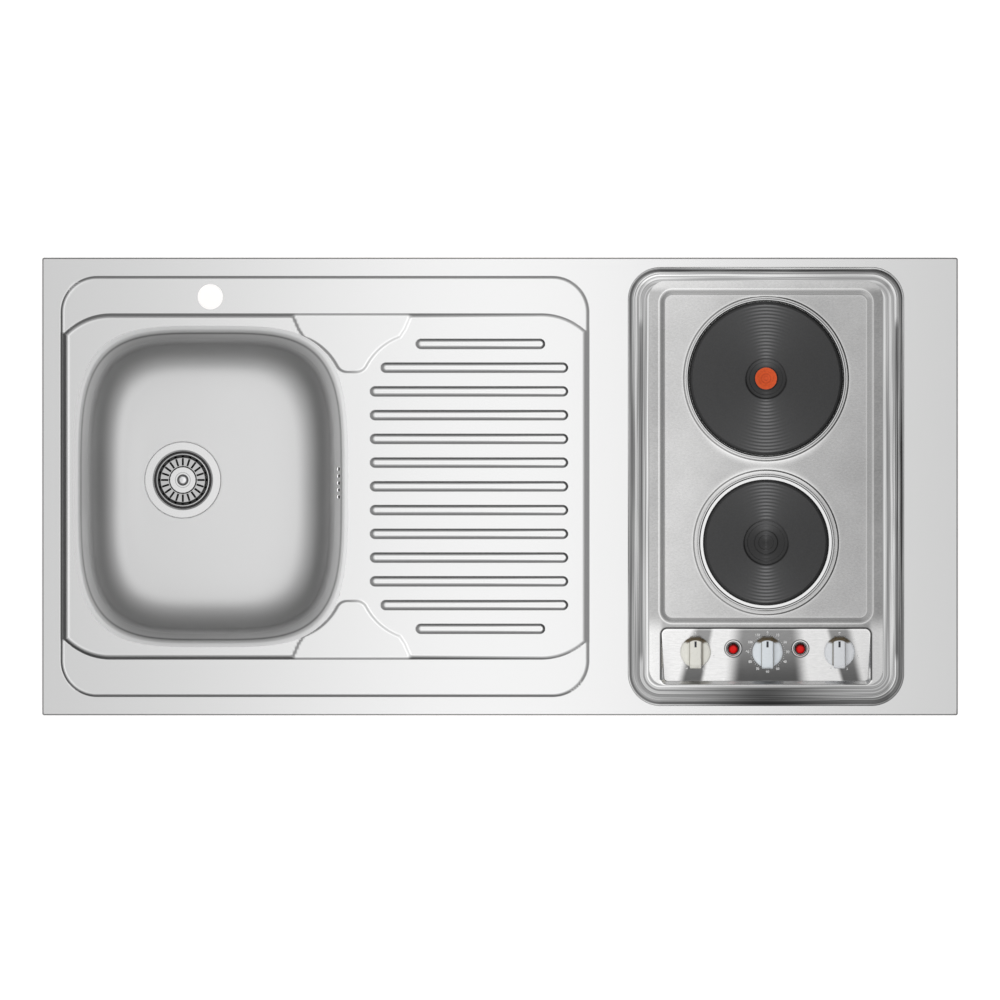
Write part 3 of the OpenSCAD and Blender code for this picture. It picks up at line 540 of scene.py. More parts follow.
def island_distance(x, y):
    """Signed distance to the outline of the nearer island, negative on it, found among its edges; 50 far away."""
    out = np.full(x.shape, 50.0)
    near = (np.abs(x - ISLAND_X) < ISLAND_WIDE) & (np.abs(y) > ISLAND_FROM)
    px, py = (x[near] - ISLAND_X)[:, None], np.abs(y[near])[:, None]
    a, b = ISLAND, np.roll(ISLAND, -1, 0)
    ex, ey = (b - a).T
    t = np.clip(((px - a[:, 0]) * ex + (py - a[:, 1]) * ey) / (ex * ex + ey * ey), 0, 1)
    gap = np.hypot(px - a[:, 0] - t * ex, py - a[:, 1] - t * ey).min(1)
    crosses = (a[:, 1] > py) != (b[:, 1] > py)
    side = px < a[:, 0] + (py - a[:, 1]) * ex / np.where(ey == 0, 1, ey)
    out[near] = np.where((crosses & side).sum(1) % 2 == 1, -gap, gap)
    return out


RIB_HALF, RIB_TOP, RIB_PITCH, RIB_ROWS = 7.7, 2.3, 31.1, range(-6, 7)
RIB_ENDS, SHORT_RIBS = (-171, 90), {6: (-111, 60), 5: (-157, 90)}
rib_across = np.linspace(0, RIB_HALF, 400)
rib_slope = smooth(rib_across / 1.3) * (1 - np.clip((rib_across - 1.6) / 6.1, 0, 1)) ** 1.25
rib_rise = np.cumsum(rib_slope) / rib_slope.sum() * RIB_TOP


def rib_height(x, y):
    """Ribs on the drainer with rounded ends: from the edge inwards a fillet, a steep flank and a crown, as the
    running sum of a slope that rises quickly and fades towards the middle; the front flank is a little gentler."""
    total = np.zeros_like(x)
    for row in RIB_ROWS:
        left, right = SHORT_RIBS.get(abs(row), RIB_ENDS)
        across = y - row * RIB_PITCH
        d = np.hypot(np.maximum(np.maximum(left + RIB_HALF - x, x - right + RIB_HALF), 0), across)
        lean = 1 + 0.25 * np.clip(across / RIB_HALF, -1, 0)
        total = np.maximum(total, np.interp((RIB_HALF - d) * lean, rib_across, rib_rise, left=0.0))
    return total


def worktop_height(x, y):
    """Height of the pressed sheet: planar walls of slope one half between border, ledges and surround, with
    their creases rounded, islands with a steep left and a gentle right wall, and ribs."""
    ledge = box_distance(x, y, *LEDGE)
    sink = np.maximum(ledge + 5.0, box_distance(x, y, *SINK))
    floor = floor_height(x)
    wide = 2.7 + 1.1 * smooth((x - ISLAND_X + 6.0) / 16.0)
    lift = smooth((wide - island_distance(x, y)) / (2 * wide))
    floor = floor + lift * (ISLAND_Z - floor) + rib_height(x, y)
    upper = soft_min(TOP_Z, soft_max((TOP_Z + LEDGE_Z + ledge) / 2, LEDGE_Z, 1.1), 0.5)
    lower = soft_max((LEDGE_Z + SURROUND_Z + sink) / 2, floor, 1.5)
    return soft_min(upper, lower, 0.35)


# Inset from the outline and height of each ring of the folded edge: round bend, outer face, hem and inner face.
FOLD = ((2.0, 38.0), (1.2, 37.85), (0.6, 37.4), (0.15, 36.8), (0.0, 36.0), (0.0, 10.0), (0.0, 1.0), (0.2, 0.6),
        (0.5, 0.5), (0.8, 0.6), (1.0, 1.0), (1.0, 36.9))
FOLD_R, FOLD_STEPS = 3.0, 10


def build_worktop():
    """The sink half as a fine height field in two pieces, the hob half as a coarser one, the folded edge, and the
    edge of the tap hole."""
    hole = lambda x, y: -bowl_distance(x, y, -SEAT_OUT)
    tap = lambda x, y: TAP_R - np.hypot(x - TAP[0], y - TAP[1])
    cut = lambda x, y: -box_distance(x, y, HOB_X - 165, HOB_X + 165, -271, 271, 12)
    edge = lambda x, y: box_distance(x, y, -598, 598, -298, 298, 1)
    inside = lambda x, y: np.maximum.reduce([hole(x, y), tap(x, y), edge(x, y)])
    beside = lambda x, y: np.maximum(cut(x, y), edge(x, y))
    flat = lambda x, y: np.full_like(x, TOP_Z)
    ribs = [(row * RIB_PITCH - 8.4, row * RIB_PITCH + 8.4, 0.84) for row in RIB_ROWS]
    ys = lines(-298, 298, 2.4, (-279, -269, 0.6), (-230, -218, 0.7), (-218, -150, 1.5), (150, 218, 1.5),
               (218, 230, 0.7), (269, 279, 0.6), *ribs)
    bowl_xs = lines(-598, -210, 2.6, (-582, -565, 0.6), (-556, -525, 1.6), (-420, -330, 2.2), (-240, -210, 1.4))
    drainer_xs = lines(-210, 130, 3.0, (-210, -100, 1.3), (48, 62, 1.1), (78, 92, 1.1), (108, 122, 0.6))
    hob_grid = lines(130, 598, 6.0), lines(-298, 298, 6.0)
    rings = [level(rounded_ring(OUTLINE[0] + inset, OUTLINE[1] - inset, OUTLINE[2] + inset, OUTLINE[3] - inset,
                                max(FOLD_R - inset, 0.6), FOLD_STEPS), z) for inset, z in FOLD]
    fold = np.vstack(rings), grid_faces(len(rings), 4 * FOLD_STEPS, wrap=True, flip=True)
    for name, surface, paint in (
            ("worktop_bowl_part", sheet(bowl_xs, ys, inside, worktop_height), worktop_steel),
            ("worktop_drainer_part", sheet(drainer_xs, ys, inside, worktop_height), worktop_steel),
            ("worktop_hob_part", sheet(*hob_grid, beside, flat), worktop_steel),
            ("worktop_edge", fold, shaded_edge_steel),
            ("tap_hole_edge", lathe([(TAP_R, 36.0), (TAP_R, 35.0)], 64, (*TAP, 0)), worktop_steel)):
        yield make_object(name, surface, paint)


worktop_parts = list(build_worktop())
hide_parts("worktop")


# ---------------- bowl

def bowl_paint():
    """Satin steel of the bowl, about a third mirror: painted shade where the wall turns into the floor and a painted
    dark line near the lip, by the share of the way from the middle to the outline, which is 1 on the superellipse."""
    paint = Paint("bowl_steel", (0.8, 0.8, 0.8), 0.40, 0.3)
    x, y, _ = paint.xyz()
    u, v = (x - BOWL_X * MM).size() / (BOWL_A * MM), y.size() / (BOWL_B * MM)
    share = (u ** BOWL_N + v ** BOWL_N) ** (1 / BOWL_N)
    # Painted shade in a band where the wall turns into the floor, further out at the front and back, and a painted dark
    # line near the lip.
    shade_dip = (share - v * v * v * 0.085).bell(0.835, 0.088)
    paint.shade(0.89 - shade_dip * 0.56 - share.bell(0.974, 0.006) * 0.36)
    paint.uneven(0.40, 0.03)
    return paint


bowl_steel = bowl_paint()
# The slot edges glow as a painted highlight, so the overflow slots show white.
glowing_slot_steel = Paint("glowing_slot_steel", (0.9, 0.9, 0.9), 0.4)
glowing_slot_steel.glow(0.6)
LIP_IN, LIP_Z, LIP_R, LIP_STEPS = -1, 28, 5.0, 9
FLARE, FLARE_RUN, KNEE_R, LEAN, FOOT_R, FOOT_Z = 66.0, 22.0, 8.0, 4.0, 45.0, -115.0
FLARE_SLOPE, LEAN_SLOPE = (math.tan(math.radians(a)) for a in (FLARE, LEAN))
SLOT_Z, SLOT_Y, SLOT_PITCH, SLOT_LONG, SLOT_WIDE = 20.0, 4.6, 9.1, 8.0, 4.8
SLOT_X, SLOT_BAND, SLOT_REACH = BOWL_X + 100, 12, 1.5


def bowl_profile(back):
    """Section of the bowl as (inset, z), moved out by back along its normal: seat, lip arc, flared band, knee arc,
    steep wall and foot arc, each joined where their tangents agree."""
    s, c = sin(FLARE), cos(FLARE)
    bend = lambda x, z, r, a: (x + r * sin(a), z + r * cos(a))
    start = np.array(bend(LIP_IN, LIP_Z, LIP_R, FLARE))
    end = start + FLARE_RUN * np.array([c, -s])
    knee = end - KNEE_R * np.array([s, c])
    knee_end = bend(*knee, KNEE_R, 90 - LEAN)
    foot_top = FOOT_Z + FOOT_R * (1 - sin(LEAN))
    foot_in = knee_end[0] + (knee_end[1] - foot_top) * LEAN_SLOPE + FOOT_R * cos(LEAN)
    out = back * np.array([s, c])
    points = [(-SEAT_OUT, SURROUND_Z - back), (-2.8, SURROUND_Z - back)]
    points += [bend(LIP_IN, LIP_Z, LIP_R - back, a) for a in np.linspace(0, FLARE, LIP_STEPS)]
    points += [tuple(start + (end - start) * t - out) for t in np.linspace(0, 1, 38)[1:-1]]
    points += [bend(*knee, KNEE_R - back, a) for a in np.linspace(FLARE, 90 - LEAN, 6)]
    points += [(foot_in - (FOOT_R + back) * cos(a), FOOT_Z + FOOT_R - (FOOT_R + back) * sin(a))
               for a in np.linspace(LEAN, 90, 26)]
    return points


def slot_distance(y, z):
    """Signed distance to the nearest of the five upright overflow slots, negative inside."""
    y = y - SLOT_Y - SLOT_PITCH * np.clip(np.round((y - SLOT_Y) / SLOT_PITCH), -2, 2)
    half = (SLOT_LONG - SLOT_WIDE) / 2
    return np.hypot(y, z - SLOT_Z - np.clip(z - SLOT_Z, -half, half)) - SLOT_WIDE / 2


def bowl_angles():
    """Angles of the bowl's points: even, and close together where the slots are."""
    return np.concatenate([np.linspace(-0.13, 0.18, 96, endpoint=False),
                           np.linspace(0.18, 2 * np.pi - 0.13, 270, endpoint=False)])


def bowl_ring(inset, t):
    """Superellipse of the bowl's outline taken in by inset, at the angles t."""
    a, b = BOWL_A - inset, BOWL_B - inset
    return circle(BOWL_X, 0, (np.abs(np.cos(t) / a) ** BOWL_N + np.abs(np.sin(t) / b) ** BOWL_N) ** (-1 / BOWL_N), t)


def slotted(points, faces):
    """The bowl's skin with the faces inside the slots left out and the points round them moved onto their outline,
    along the wall."""
    x, y, z = points.T
    wall = (x > SLOT_X) & (np.abs(z - SLOT_Z) < SLOT_BAND)
    gap = np.where(wall, slot_distance(y, z), SLOT_BAND)
    middle = points[faces].mean(1)
    drop = (middle[:, 0] > SLOT_X) & (slot_distance(middle[:, 1], middle[:, 2]) < 0)
    near = np.zeros(len(points), bool)
    near[faces[drop].ravel()] = True
    kept = np.zeros(len(points), bool)
    kept[faces[~drop].ravel()] = True
    move = near & kept & (np.abs(gap) < SLOT_REACH)
    my, mz = y[move], z[move]
    for _ in range(MOVES):
        d = slot_distance(my, mz)
        gy = (slot_distance(my + NUDGE, mz) - d) / NUDGE
        gz = (slot_distance(my, mz + NUDGE) - d) / NUDGE
        my, mz = my - d * gy, mz - d * gz
    points = points.copy()
    points[move] += np.stack([(mz - z[move]) / FLARE_SLOPE, my - y[move], mz - z[move]], 1)
    return points, faces[~drop]


# Radius and height of each ring of the waste's seat; the outer skin is larger by the share in the third place.
SEAT = ((50.8, -117.0, 1.0), (50.3, -117.12, 0.5), (50.1, -117.5, 0.0), (50.1, -119.2, 0.0), (42.0, -119.2, 0.0))
SEAT_R, SEAT_Z = 53.0, -117.0


def build_bowl():
    """Inner and outer skin of the bowl through rings: the section's rings, a floor that falls to the drain, and
    the seat of the waste; and the edges of the slots between them."""
    t = bowl_angles()
    for name, back in (("bowl_inner", 0.0), ("bowl_outer", 1.0)):
        rings = [level(bowl_ring(inset, t), z) for inset, z in bowl_profile(back)]
        edge = rings[-1]
        seat = level(circle(*DRAIN, SEAT_R + back, t), SEAT_Z - back)
        for share in np.linspace(0, 1, 13)[1:]:
            ring = edge * (1 - share) + seat * share
            ring[:, 2] = FOOT_Z - back + (SEAT_Z - FOOT_Z) * smooth(share)
            rings.append(ring)
        rings += [level(circle(*DRAIN, r + back * more, t), z - back) for r, z, more in SEAT]
        points = np.array(rings).reshape(-1, 3)
        faces = grid_faces(len(rings), len(t), wrap=True, flip=back == 0)
        yield make_object(name, slotted(points, faces), bowl_steel)
    half, a = (SLOT_LONG - SLOT_WIDE) / 2, np.linspace(0, 2 * np.pi, 24, endpoint=False)
    y, z = SLOT_WIDE / 2 * np.cos(a), SLOT_WIDE / 2 * np.sin(a) + half * np.sign(np.sin(a) + 1e-9)
    flare_in, flare_z = bowl_profile(0.0)[1 + LIP_STEPS]
    x = BOWL_X + BOWL_A - flare_in - (flare_z - SLOT_Z - z) / FLARE_SLOPE
    tubes = []
    for i in range(-2, 3):
        ring = np.stack([x, y + SLOT_Y + i * SLOT_PITCH, z + SLOT_Z], 1)
        tubes.append((np.vstack([ring, ring + [1.0 / sin(FLARE), 0, 0]]),
                      grid_faces(2, len(a), wrap=True, flip=True)))
    yield make_object("slot_edges", joined(tubes), glowing_slot_steel)


bowl_parts = list(build_bowl())
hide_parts("bowl")


# ---------------- hob

RIM = (HOB_X - 181, HOB_X + 181, -287.5, 287.5, 43.0)
CREST = (HOB_X - 153, HOB_X + 153, -260.5, 269.5, 22.0)
WELL = (HOB_X - 140.5, HOB_X + 140.5, -180.0, 259.0, 18.0)
PANEL = (HOB_X - 137.5, HOB_X + 137.5, -259.0, -186.0, 8.0)
REAR, FRONT = (HOB_X, 141.5), (HOB_X, -73.4)
REAR_R, FRONT_R = 101.0, 82.5
PANEL_AT = (HOB_X, -185.0, 45.4)
RIM_Z, CREST_Z, WELL_Z = 38.0, 46.0, 42.0


def panel_plane(y):
    """Height of the sloping control panel."""
    return PANEL_AT[2] + (y - PANEL_AT[1]) * math.tan(math.radians(TILT))


# Centre of each plate, and the radii between which its raised land lies.
LANDS = ((REAR, REAR_R - 3.0, REAR_R + 7.0), (FRONT, FRONT_R - 3.0, FRONT_R + 12.5))
LAND_EDGE = 3.0


def hob_height(x, y):
    """Height inside the crest: shelf, well with planar walls and raised lands round the plates, and the sloping
    panel behind its own wall."""
    crest = box_distance(x, y, *CREST)
    shelf = CREST_Z - 0.35 * smooth(-crest / 5.0)
    well = soft_max(CREST_Z - 0.38 * (0.6 - box_distance(x, y, *WELL)), WELL_Z, 1.6)
    for (cx, cy), _, r in LANDS:
        well = soft_max(well, WELL_Z + 1.2 * smooth((r + 1.4 - np.hypot(x - cx, y - cy)) / 3.2), 0.12)
    z = soft_min(shelf, well, 1.1)
    panel = box_distance(x, y, *PANEL)
    return soft_min(z, soft_max(45.6 + panel * 0.9, panel_plane(y), 0.5), 0.35)


def box_inset(paint, box):
    """Distance in metres inwards from a rounded rectangle, as a shader value."""
    left, right, front, back, radius = (v * MM for v in box)
    x, y, _ = paint.xyz()
    dx = (x - (left + right) / 2).size() - ((right - left) / 2 - radius)
    dy = (y - (front + back) / 2).size() - ((back - front) / 2 - radius)
    ox, oy = dx.most(0.0), dy.most(0.0)
    return radius - (ox * ox + oy * oy).math("SQRT") - dx.most(dy).least(0.0)


def rim_paint():
    """Polished steel of the hob's rim: long uneven streaks that follow the rim, which bump it and also darken and
    lighten it as painted reflections; painted light and shade by side: darker at the front middle and further in,
    lighter at the right and the back, dark bands along both sides and a highlight line near the crest; and a
    painted shadow line at its foot.
    """
    paint = Paint("rim_steel", (0.7, 0.7, 0.7), 0.10, 1.0)
    x, y, _ = paint.xyz()
    inset = box_inset(paint, RIM)
    streak_and_reflection = 0.0
    # Polish streaks that bump the surface and also act as painted reflections in its colour.
    for across, along, share in ((330.0, 3.2, 0.62), (900.0, 7.0, 0.38)):
        place = paint.node("ShaderNodeCombineXYZ", X=inset * across, Y=x * along, Z=y * along).outputs[0]
        streak_and_reflection = paint.cloud(place, 1.5) * share + streak_and_reflection
    # Painted light and shade by side of the rim: dark front middle, light right and back, darker inwards, dark bands
    # along the sides.
    front = (-0.255 - y).above(0.0, 0.012) * (x - HOB_X * MM).bell(0.0, 0.085)
    right = (x - (HOB_X + 158.0) * MM).above(0.0, 0.008)
    back = (y - 0.262).above(0.0, 0.008)
    inner = inset.above(0.005, 0.018)
    side = (y + 0.235).above(0.0, 0.02) * (0.225 - y).above(0.0, 0.02)
    left = (HOB_X * MM - x).above(0.0, 0.01)
    left_shade_band = left * inset.inside(0.0142, 0.0198, 0.0008) * 0.50
    right_shade_band = (1.0 - left) * inset.inside(0.0075, 0.0125, 0.0008) * 0.62
    bright = (0.66 + right * 0.30 + back * 0.22).least(0.96) * (1.0 - inner * 0.36) * (1.0 - front * 0.82)
    bright = bright * (1.0 - side * (left_shade_band + right_shade_band)) + inset.bell(0.0255, 0.0013) * 0.25
    # Painted shadow line at the rim's foot.
    foot = inset.above(0.0, 0.0014)
    tone = bright * (0.58 + 0.76 * streak_and_reflection.above(0.38, 0.62)) * (0.55 + 0.45 * foot)
    paint.shade(tone.least(1.0))
    paint.bump(streak_and_reflection, 0.0005)
    return paint


def face_paint():
    """Steel of the hob inside its rim: brushed and mottled in the well, with painted light and shade: lighter towards
    the left, a darker shelf with lighter front corners, a lighter back edge, painted highlight lines along the well's
    wall and by the plates, and a painted highlight crescent by each plate; and on the control panel satin with painted
    dark
    reflections of what stands before it: a wedge under each outer dial and a broad one round the timer, both darker
    towards the front, darker sides, and a painted outline of shadow and highlight lines."""
    paint = Paint("face_steel", (0.5, 0.5, 0.5), 0.22, 1.0)
    x, y, _ = paint.xyz()
    right = (x - HOB_X * MM) / MM
    mottle = paint.noise(0.0016, 3.0, 0.6, (1.8, 1.0, 1.0))
    cloud = paint.noise(0.075, 2.0)
    well = box_inset(paint, WELL) / MM
    panel = box_inset(paint, PANEL) / MM
    shelf = well.above(0.5, -0.5)
    # Painted light and shade: lighter towards the left, a darker shelf, a lighter back edge and lighter front corners
    # of the shelf.
    tone = 0.545 - right * 0.00045 + (mottle - 0.5) * 0.22 + (cloud - 0.5) * 0.20
    tone = tone - shelf * 0.15 + y.above(0.253, 0.263) * 0.25
    tone = tone + shelf * y.above(-0.165, -0.195) * right.size().above(133.0, 140.0) * 0.36
    # Painted highlight lines along the well's wall.
    wall = 0.22 + y.above(0.245, 0.250) * 0.22
    tone = tone + well.inside(1.6, 6.8, 0.6) * wall + (well.bell(0.3, 1.0) + well.bell(8.6, 1.1)) * 0.30
    # Painted highlights by the plates: a crescent in front of the rear plate and behind the front plate, and a line
    # round each land.
    for (centre, _, land), radius, face in zip(LANDS, (REAR_R + 8.5, FRONT_R + 12.0), (-1.0, 1.0)):
        dx, dy = right, (y - centre[1] * MM) / MM * face
        gap = (dx * dx + dy * dy).math("SQRT")
        tone = tone + gap.bell(radius, 4.5) * (dy / gap.most(1.0)).above(0.55, 0.95) * 0.26 + gap.bell(land, 2.2) * 0.22
    py = (y + 0.222) / MM
    grain = paint.noise(0.0016, 3.0, 0.6, (5.0, 1.0, 1.0))
    # Painted dark reflections on the panel: wedges under the outer dials, a broad one round the timer, and darker
    # sides.
    below = py.above(30.0, -34.0)
    left_reflection_wedge = (right + 89.0 - py * 0.27).above(-20.0, -8.0) * (right + 89.0 - py * 0.20).above(15.0, 8.0)
    right_reflection_wedge = (right - 103.0 + py * 0.28).above(-16.0, -9.0) * (right - 103.0 + py * 0.22).above(20.0, 8.0)
    middle = (right - py * 0.10).above(-53.0, -31.0) * (right + py * 0.10).above(55.0, 35.0)
    dark = (left_reflection_wedge + right_reflection_wedge).least(1.0) * (0.66 + 0.22 * below) + middle * (0.68 + 0.24 * below)
    edges = right.size().above(118.0, 140.0) * below * 0.16
    satin = (0.84 - (dark + edges).least(0.93) * 0.81) * (0.86 + grain * 0.28)
    tone = tone + (satin - tone) * panel.above(-1.0, 0.6)
    # Painted outline of the panel: a shadow line with a highlight inside at its back, highlight lines at its front and
    # sides.
    rear_part = y.above(-0.2550, -0.2530)
    tone = tone * (1.0 - panel.bell(-0.5, 1.2) * rear_part * 0.95) + panel.bell(1.5, 0.7) * rear_part * 0.30
    tone = tone + (panel.bell(-1.6, 0.9) * 0.45 + panel.inside(0.3, 4.4, 0.4) * 0.5) * (1.0 - rear_part)
    paint.shade(tone.least(0.97), (1.0, 0.996, 0.992))
    paint.bump(mottle, 0.00003)
    paint.set("Roughness", (mottle - 0.5) * 0.10 + 0.22)
    return paint


def polar(centre, radii, count, height):
    """Ring-shaped part of a height field between the radii round a centre, with the field's own normals."""
    r, a = np.meshgrid(radii, 2 * np.pi * np.arange(count) / count, indexing="ij")
    x, y = centre[0] + (r * np.cos(a)).ravel(), centre[1] + (r * np.sin(a)).ravel()
    faces = grid_faces(len(radii), count, wrap=True, flip=True)
    return np.stack([x, y, height(x, y)], 1), faces, field_normals(x, y, height)


RIM_STEPS, RIM_CORNER = 26, 44


def build_hob():
    """Arched rim as a loft between the outer line and the crest by a quarter ellipse, then height fields: the
    control panel, the well with its shelf, and the rings round the plates."""
    rings = []
    for a in np.linspace(0, 90, RIM_STEPS + 1):
        box = [o + (c - o) * (1 - cos(a)) for o, c in zip(RIM, CREST)]
        rings.append(level(rounded_ring(*box, RIM_CORNER), RIM_Z + (CREST_Z - RIM_Z) * sin(a)))
    surface = np.vstack(rings), grid_faces(len(rings), 4 * RIM_CORNER, wrap=True)
    yield make_object("hob_rim", surface, rim_paint())
    holes = [lambda x, y, c=c, r=r: r + LAND_EDGE - np.hypot(x - c[0], y - c[1]) for c, _, r in LANDS]
    left, right, front, back, _ = CREST
    panel_back = PANEL[3] + 2.5
    edge = lambda x, y: box_distance(x, y, *CREST)
    inside = lambda x, y: np.maximum.reduce([holes[0](x, y), holes[1](x, y), edge(x, y)])
    steel = face_paint()
    xs = lines(left, right, 2.2, (left, left + 25, 0.7), (right - 25, right, 0.7))
    ys = lines(panel_back, back, 2.2, (-183.5, -168, 0.7), (246, back, 0.7))
    yield make_object("hob_well", sheet(xs, ys, inside, hob_height), steel)
    ys = lines(front, panel_back, 2.0, (front, front + 6, 0.5), (-190, panel_back, 0.5))
    yield make_object("hob_panel", sheet(xs, ys, edge, hob_height), steel)
    for name, (centre, low, high) in zip(("rear", "front"), LANDS):
        radii = np.concatenate([np.linspace(low, high - 2.5, 6), np.linspace(high - 2.0, high + LAND_EDGE, 12)])
        yield make_object(name + "_land", polar(centre, radii, 300, hob_height), steel)


hob_parts = list(build_hob())
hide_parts("hob_top")
PLATE_Z = 48.6


def build_plates():
    """Turned plates, closed round the groove below for the heater, and their rings."""
    for name, centre, r, hub, bead in (("rear", REAR, REAR_R, 27.0, REAR_R + 4.2),
                                       ("front", FRONT, FRONT_R, 29.5, FRONT_R + 7.4)):
        top = PLATE_Z
        below = [(0.01, 30), (22, 30), (22, 38), (r - 13, 38), (r - 13, 30), (r - 7, 30), (r - 7, 44.4)]
        above = [(r - 7, 44.4), (r - 0.4, 44.4), (r, 44.8), (r, 46.0), (r - 4.5, top), (hub, top),
                 (hub - 1.5, top - 1.2), (hub - 5, top - 1.2), (hub - 5.6, top - 1.6), (16, top - 1.6),
                 (14.5, top - 0.7), (10, top - 0.7), (9.4, top - 1.1), (0.01, top - 1.1)]
        surface = lathe(np.vstack([below, rounded_profile(above, 0.5)]), 180, (*centre, 0), flip=False)
        plate = make_object(name + "_plate_face", surface, iron(name + "_iron", centre, hub, r))
        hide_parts(name + "_hotplate")
        corners = [(r - 6, 43.25), (r - 6, 44.35), (bead - 3.6, 44.4), (bead - 2.7, 45.3), (bead - 1.6, 45.7),
                   (bead - 0.5, 45.1), (bead, 44.1), (bead, 43.25)]
        surface = lathe(rounded_profile(corners, 0.5), 180, (*centre, 0))
        ring = make_object(name + "_ring_face", surface, ring_steel)
        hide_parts(name + "_spill_ring")


def dot_paint():
    """Red paint of the rear plate's dot, worn in rings."""
    fresh, worn = (0.80, 0.11, 0.026), (0.50, 0.055, 0.012)
    paint = Paint("hub_dot", fresh, 0.5)
    paint.set("Specular IOR Level", 0.2)
    radius = paint.around(REAR)[2]
    wear = radius.bell(6.0, 0.9) * 0.5 + radius.bell(2.6, 0.8) * 0.4 + paint.noise(0.003, 3.0).above(0.4, 0.8) * 0.5
    paint.blend(wear.least(1.0), fresh, worn)
    return paint


build_plates()
dot = lathe([(14.3, 47.93), (10.0, 47.93), (9.4, 47.53), (0.01, 47.53)], 96, (*REAR, 0.02), flip=False)
make_object("rear_hub_dot", dot, dot_paint())


# ---------------- controls

DIALS, DIAL_Y = {"left": -92.3, "timer": 2.0, "right": 96.3}, -31.8
LAMP_Y, PRINT_Z = -27.4, 0.06


def on_panel(x, y):
    """Row-frame point of a place on the sloping panel."""
    return tilted(([[x, y, 0.0]],), PANEL_AT)[0][0]


GRIP_WIDE, GRIP_FRONT, GRIP_BACK, GRIP_LOW, GRIP_RISE = 15.0, -21.5, 20.4, 9.0, 9.9


def grip():
    """Grip bar of a knob: cross-sections along y, each a box with rounded top edges whose height follows a
    crowned side view, low at the ends."""
    ys = np.concatenate([np.linspace(GRIP_FRONT, -17, 12), np.linspace(-16, 15, 24), np.linspace(16, GRIP_BACK, 12)])
    ys = ys[:, None]
    from_end = np.minimum(ys - GRIP_FRONT, GRIP_BACK - ys)
    top = GRIP_LOW + GRIP_RISE * np.sqrt(1 - np.clip(1 - from_end / 6.5, 0, 1) ** 2)
    half = GRIP_WIDE / 2 * (1 - 0.10 * np.clip(1 - from_end / 2.0, 0, 1) ** 2)
    r = np.minimum(1.8, top - 3)
    a = np.linspace(0, np.pi / 2, 6)
    side = np.hstack([np.full_like(top, 2.2), top * 0.5, top - r + r * np.sin(a)])
    out = np.hstack([half, half, half - r + r * np.cos(a)])
    x = np.hstack([-out, out[:, ::-1]])
    z = np.hstack([side, side[:, ::-1]])
    rings = np.stack([x, np.broadcast_to(ys, x.shape), z], 2)
    ends = [np.broadcast_to(rings[k].mean(0), (1, *rings[k].shape)) for k in (0, -1)]
    rings = np.concatenate([ends[0], rings, ends[1]])
    return rings.reshape(-1, 3), grid_faces(rings.shape[0], rings.shape[1], wrap=True)


def build_knob(name, colour, bar_shadows):
    """Disc by revolution and grip by lofting, joined in one mesh, with a printed pointer line."""
    centre = on_panel(DIALS[name], DIAL_Y)
    disc = [(3, 1.0), (19.2, 1.0), (20, 1.8), (20, 7.2), (18.6, 8.8), (16, 9.4), (0.01, 9.5)]
    surface = tilted(joined([lathe(rounded_profile(disc, 0.6), 128), grip()]), centre)
    paint = knob_paint(name + "_knob_paint", colour, centre, bar_shadows)
    knob = make_object(name + "_knob_face", surface, paint, name + "_dial")
    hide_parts(name + "_knob")
    line = [(-1.4, 7.0, 18.95), (1.4, 7.0, 18.95), (1.4, 14.8, 18.95), (-1.4, 14.8, 18.95)]
    make_object(name + "_pointer", tilted((line, [[0, 1, 2, 3]]), centre), print_dark, name + "_dial")


# Each knob's colour and the painted shadow lines beside its grip bar.
build_knob("left", (0.86, 0.85, 0.78), ((7.5, 10.3), (-8.3, -7.5)))
build_knob("timer", (0.82, 0.87, 0.91), ((7.5, 8.6), (-8.5, -7.5)))
build_knob("right", (0.83, 0.85, 0.88), ((-9.9, -7.5), (7.5, 8.1)))


def lens_paint(name, at):
    """Clear red lens with painted shade towards its rim and a painted highlight a little in front of its middle."""
    paint = Paint(name, (0.6, 0.01, 0.01), 0.2, 0.0, 0.12, 0.05)
    paint.set("Specular IOR Level", 0.1)
    # Painted highlight in the lens, shading off to a painted dark rim.
    highlight_core = paint.around((at[0], at[1] - 1.2))[2].above(6.6, 3.0)
    paint.blend(highlight_core, (0.06, 0.0, 0.0), (0.86, 0.006, 0.006))
    return paint


BEZEL = ((6.6, -1.0), (6.6, 1.2), (7.0, 1.9), (7.8, 1.3), (8.6, 1.3), (9.6, 2.5), (11.2, 2.1), (12, 0.8), (12, 0.02))
# Painted dark reflections in the chrome bezel, as (from, to, tone) by radius.
BEZEL_REFLECTION_BANDS = ((6.4, 8.2, 0.07), (11.0, 11.6, 0.25))
LENS_R, LENS_RISE = 6.5, 2.2


def build_lamp(name, x):
    """Turned bezel and domed lens of a lamp."""
    at = on_panel(x, LAMP_Y)
    surface = tilted(lathe(rounded_profile(BEZEL, 0.4), 96, flip=False), at)
    made = make_object(name + "_bezel_face", surface, turned_paint(name + "_bezel", at, BEZEL_REFLECTION_BANDS))
    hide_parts(name + "_lamp_bezel")
    a = np.linspace(0, math.pi / 2, 12)
    dome = np.stack([np.maximum(LENS_R * np.cos(a), 0.01), 1.4 + LENS_RISE * np.sin(a)], 1)
    surface = tilted(lathe(np.vstack([[(LENS_R, -1.0)], dome]), 64), at)
    made = make_object(name + "_lens_face", surface, lens_paint(name + "_lens", at))
    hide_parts(name + "_lamp_lens")


build_lamp("left", -43.0)
build_lamp("right", 45.0)


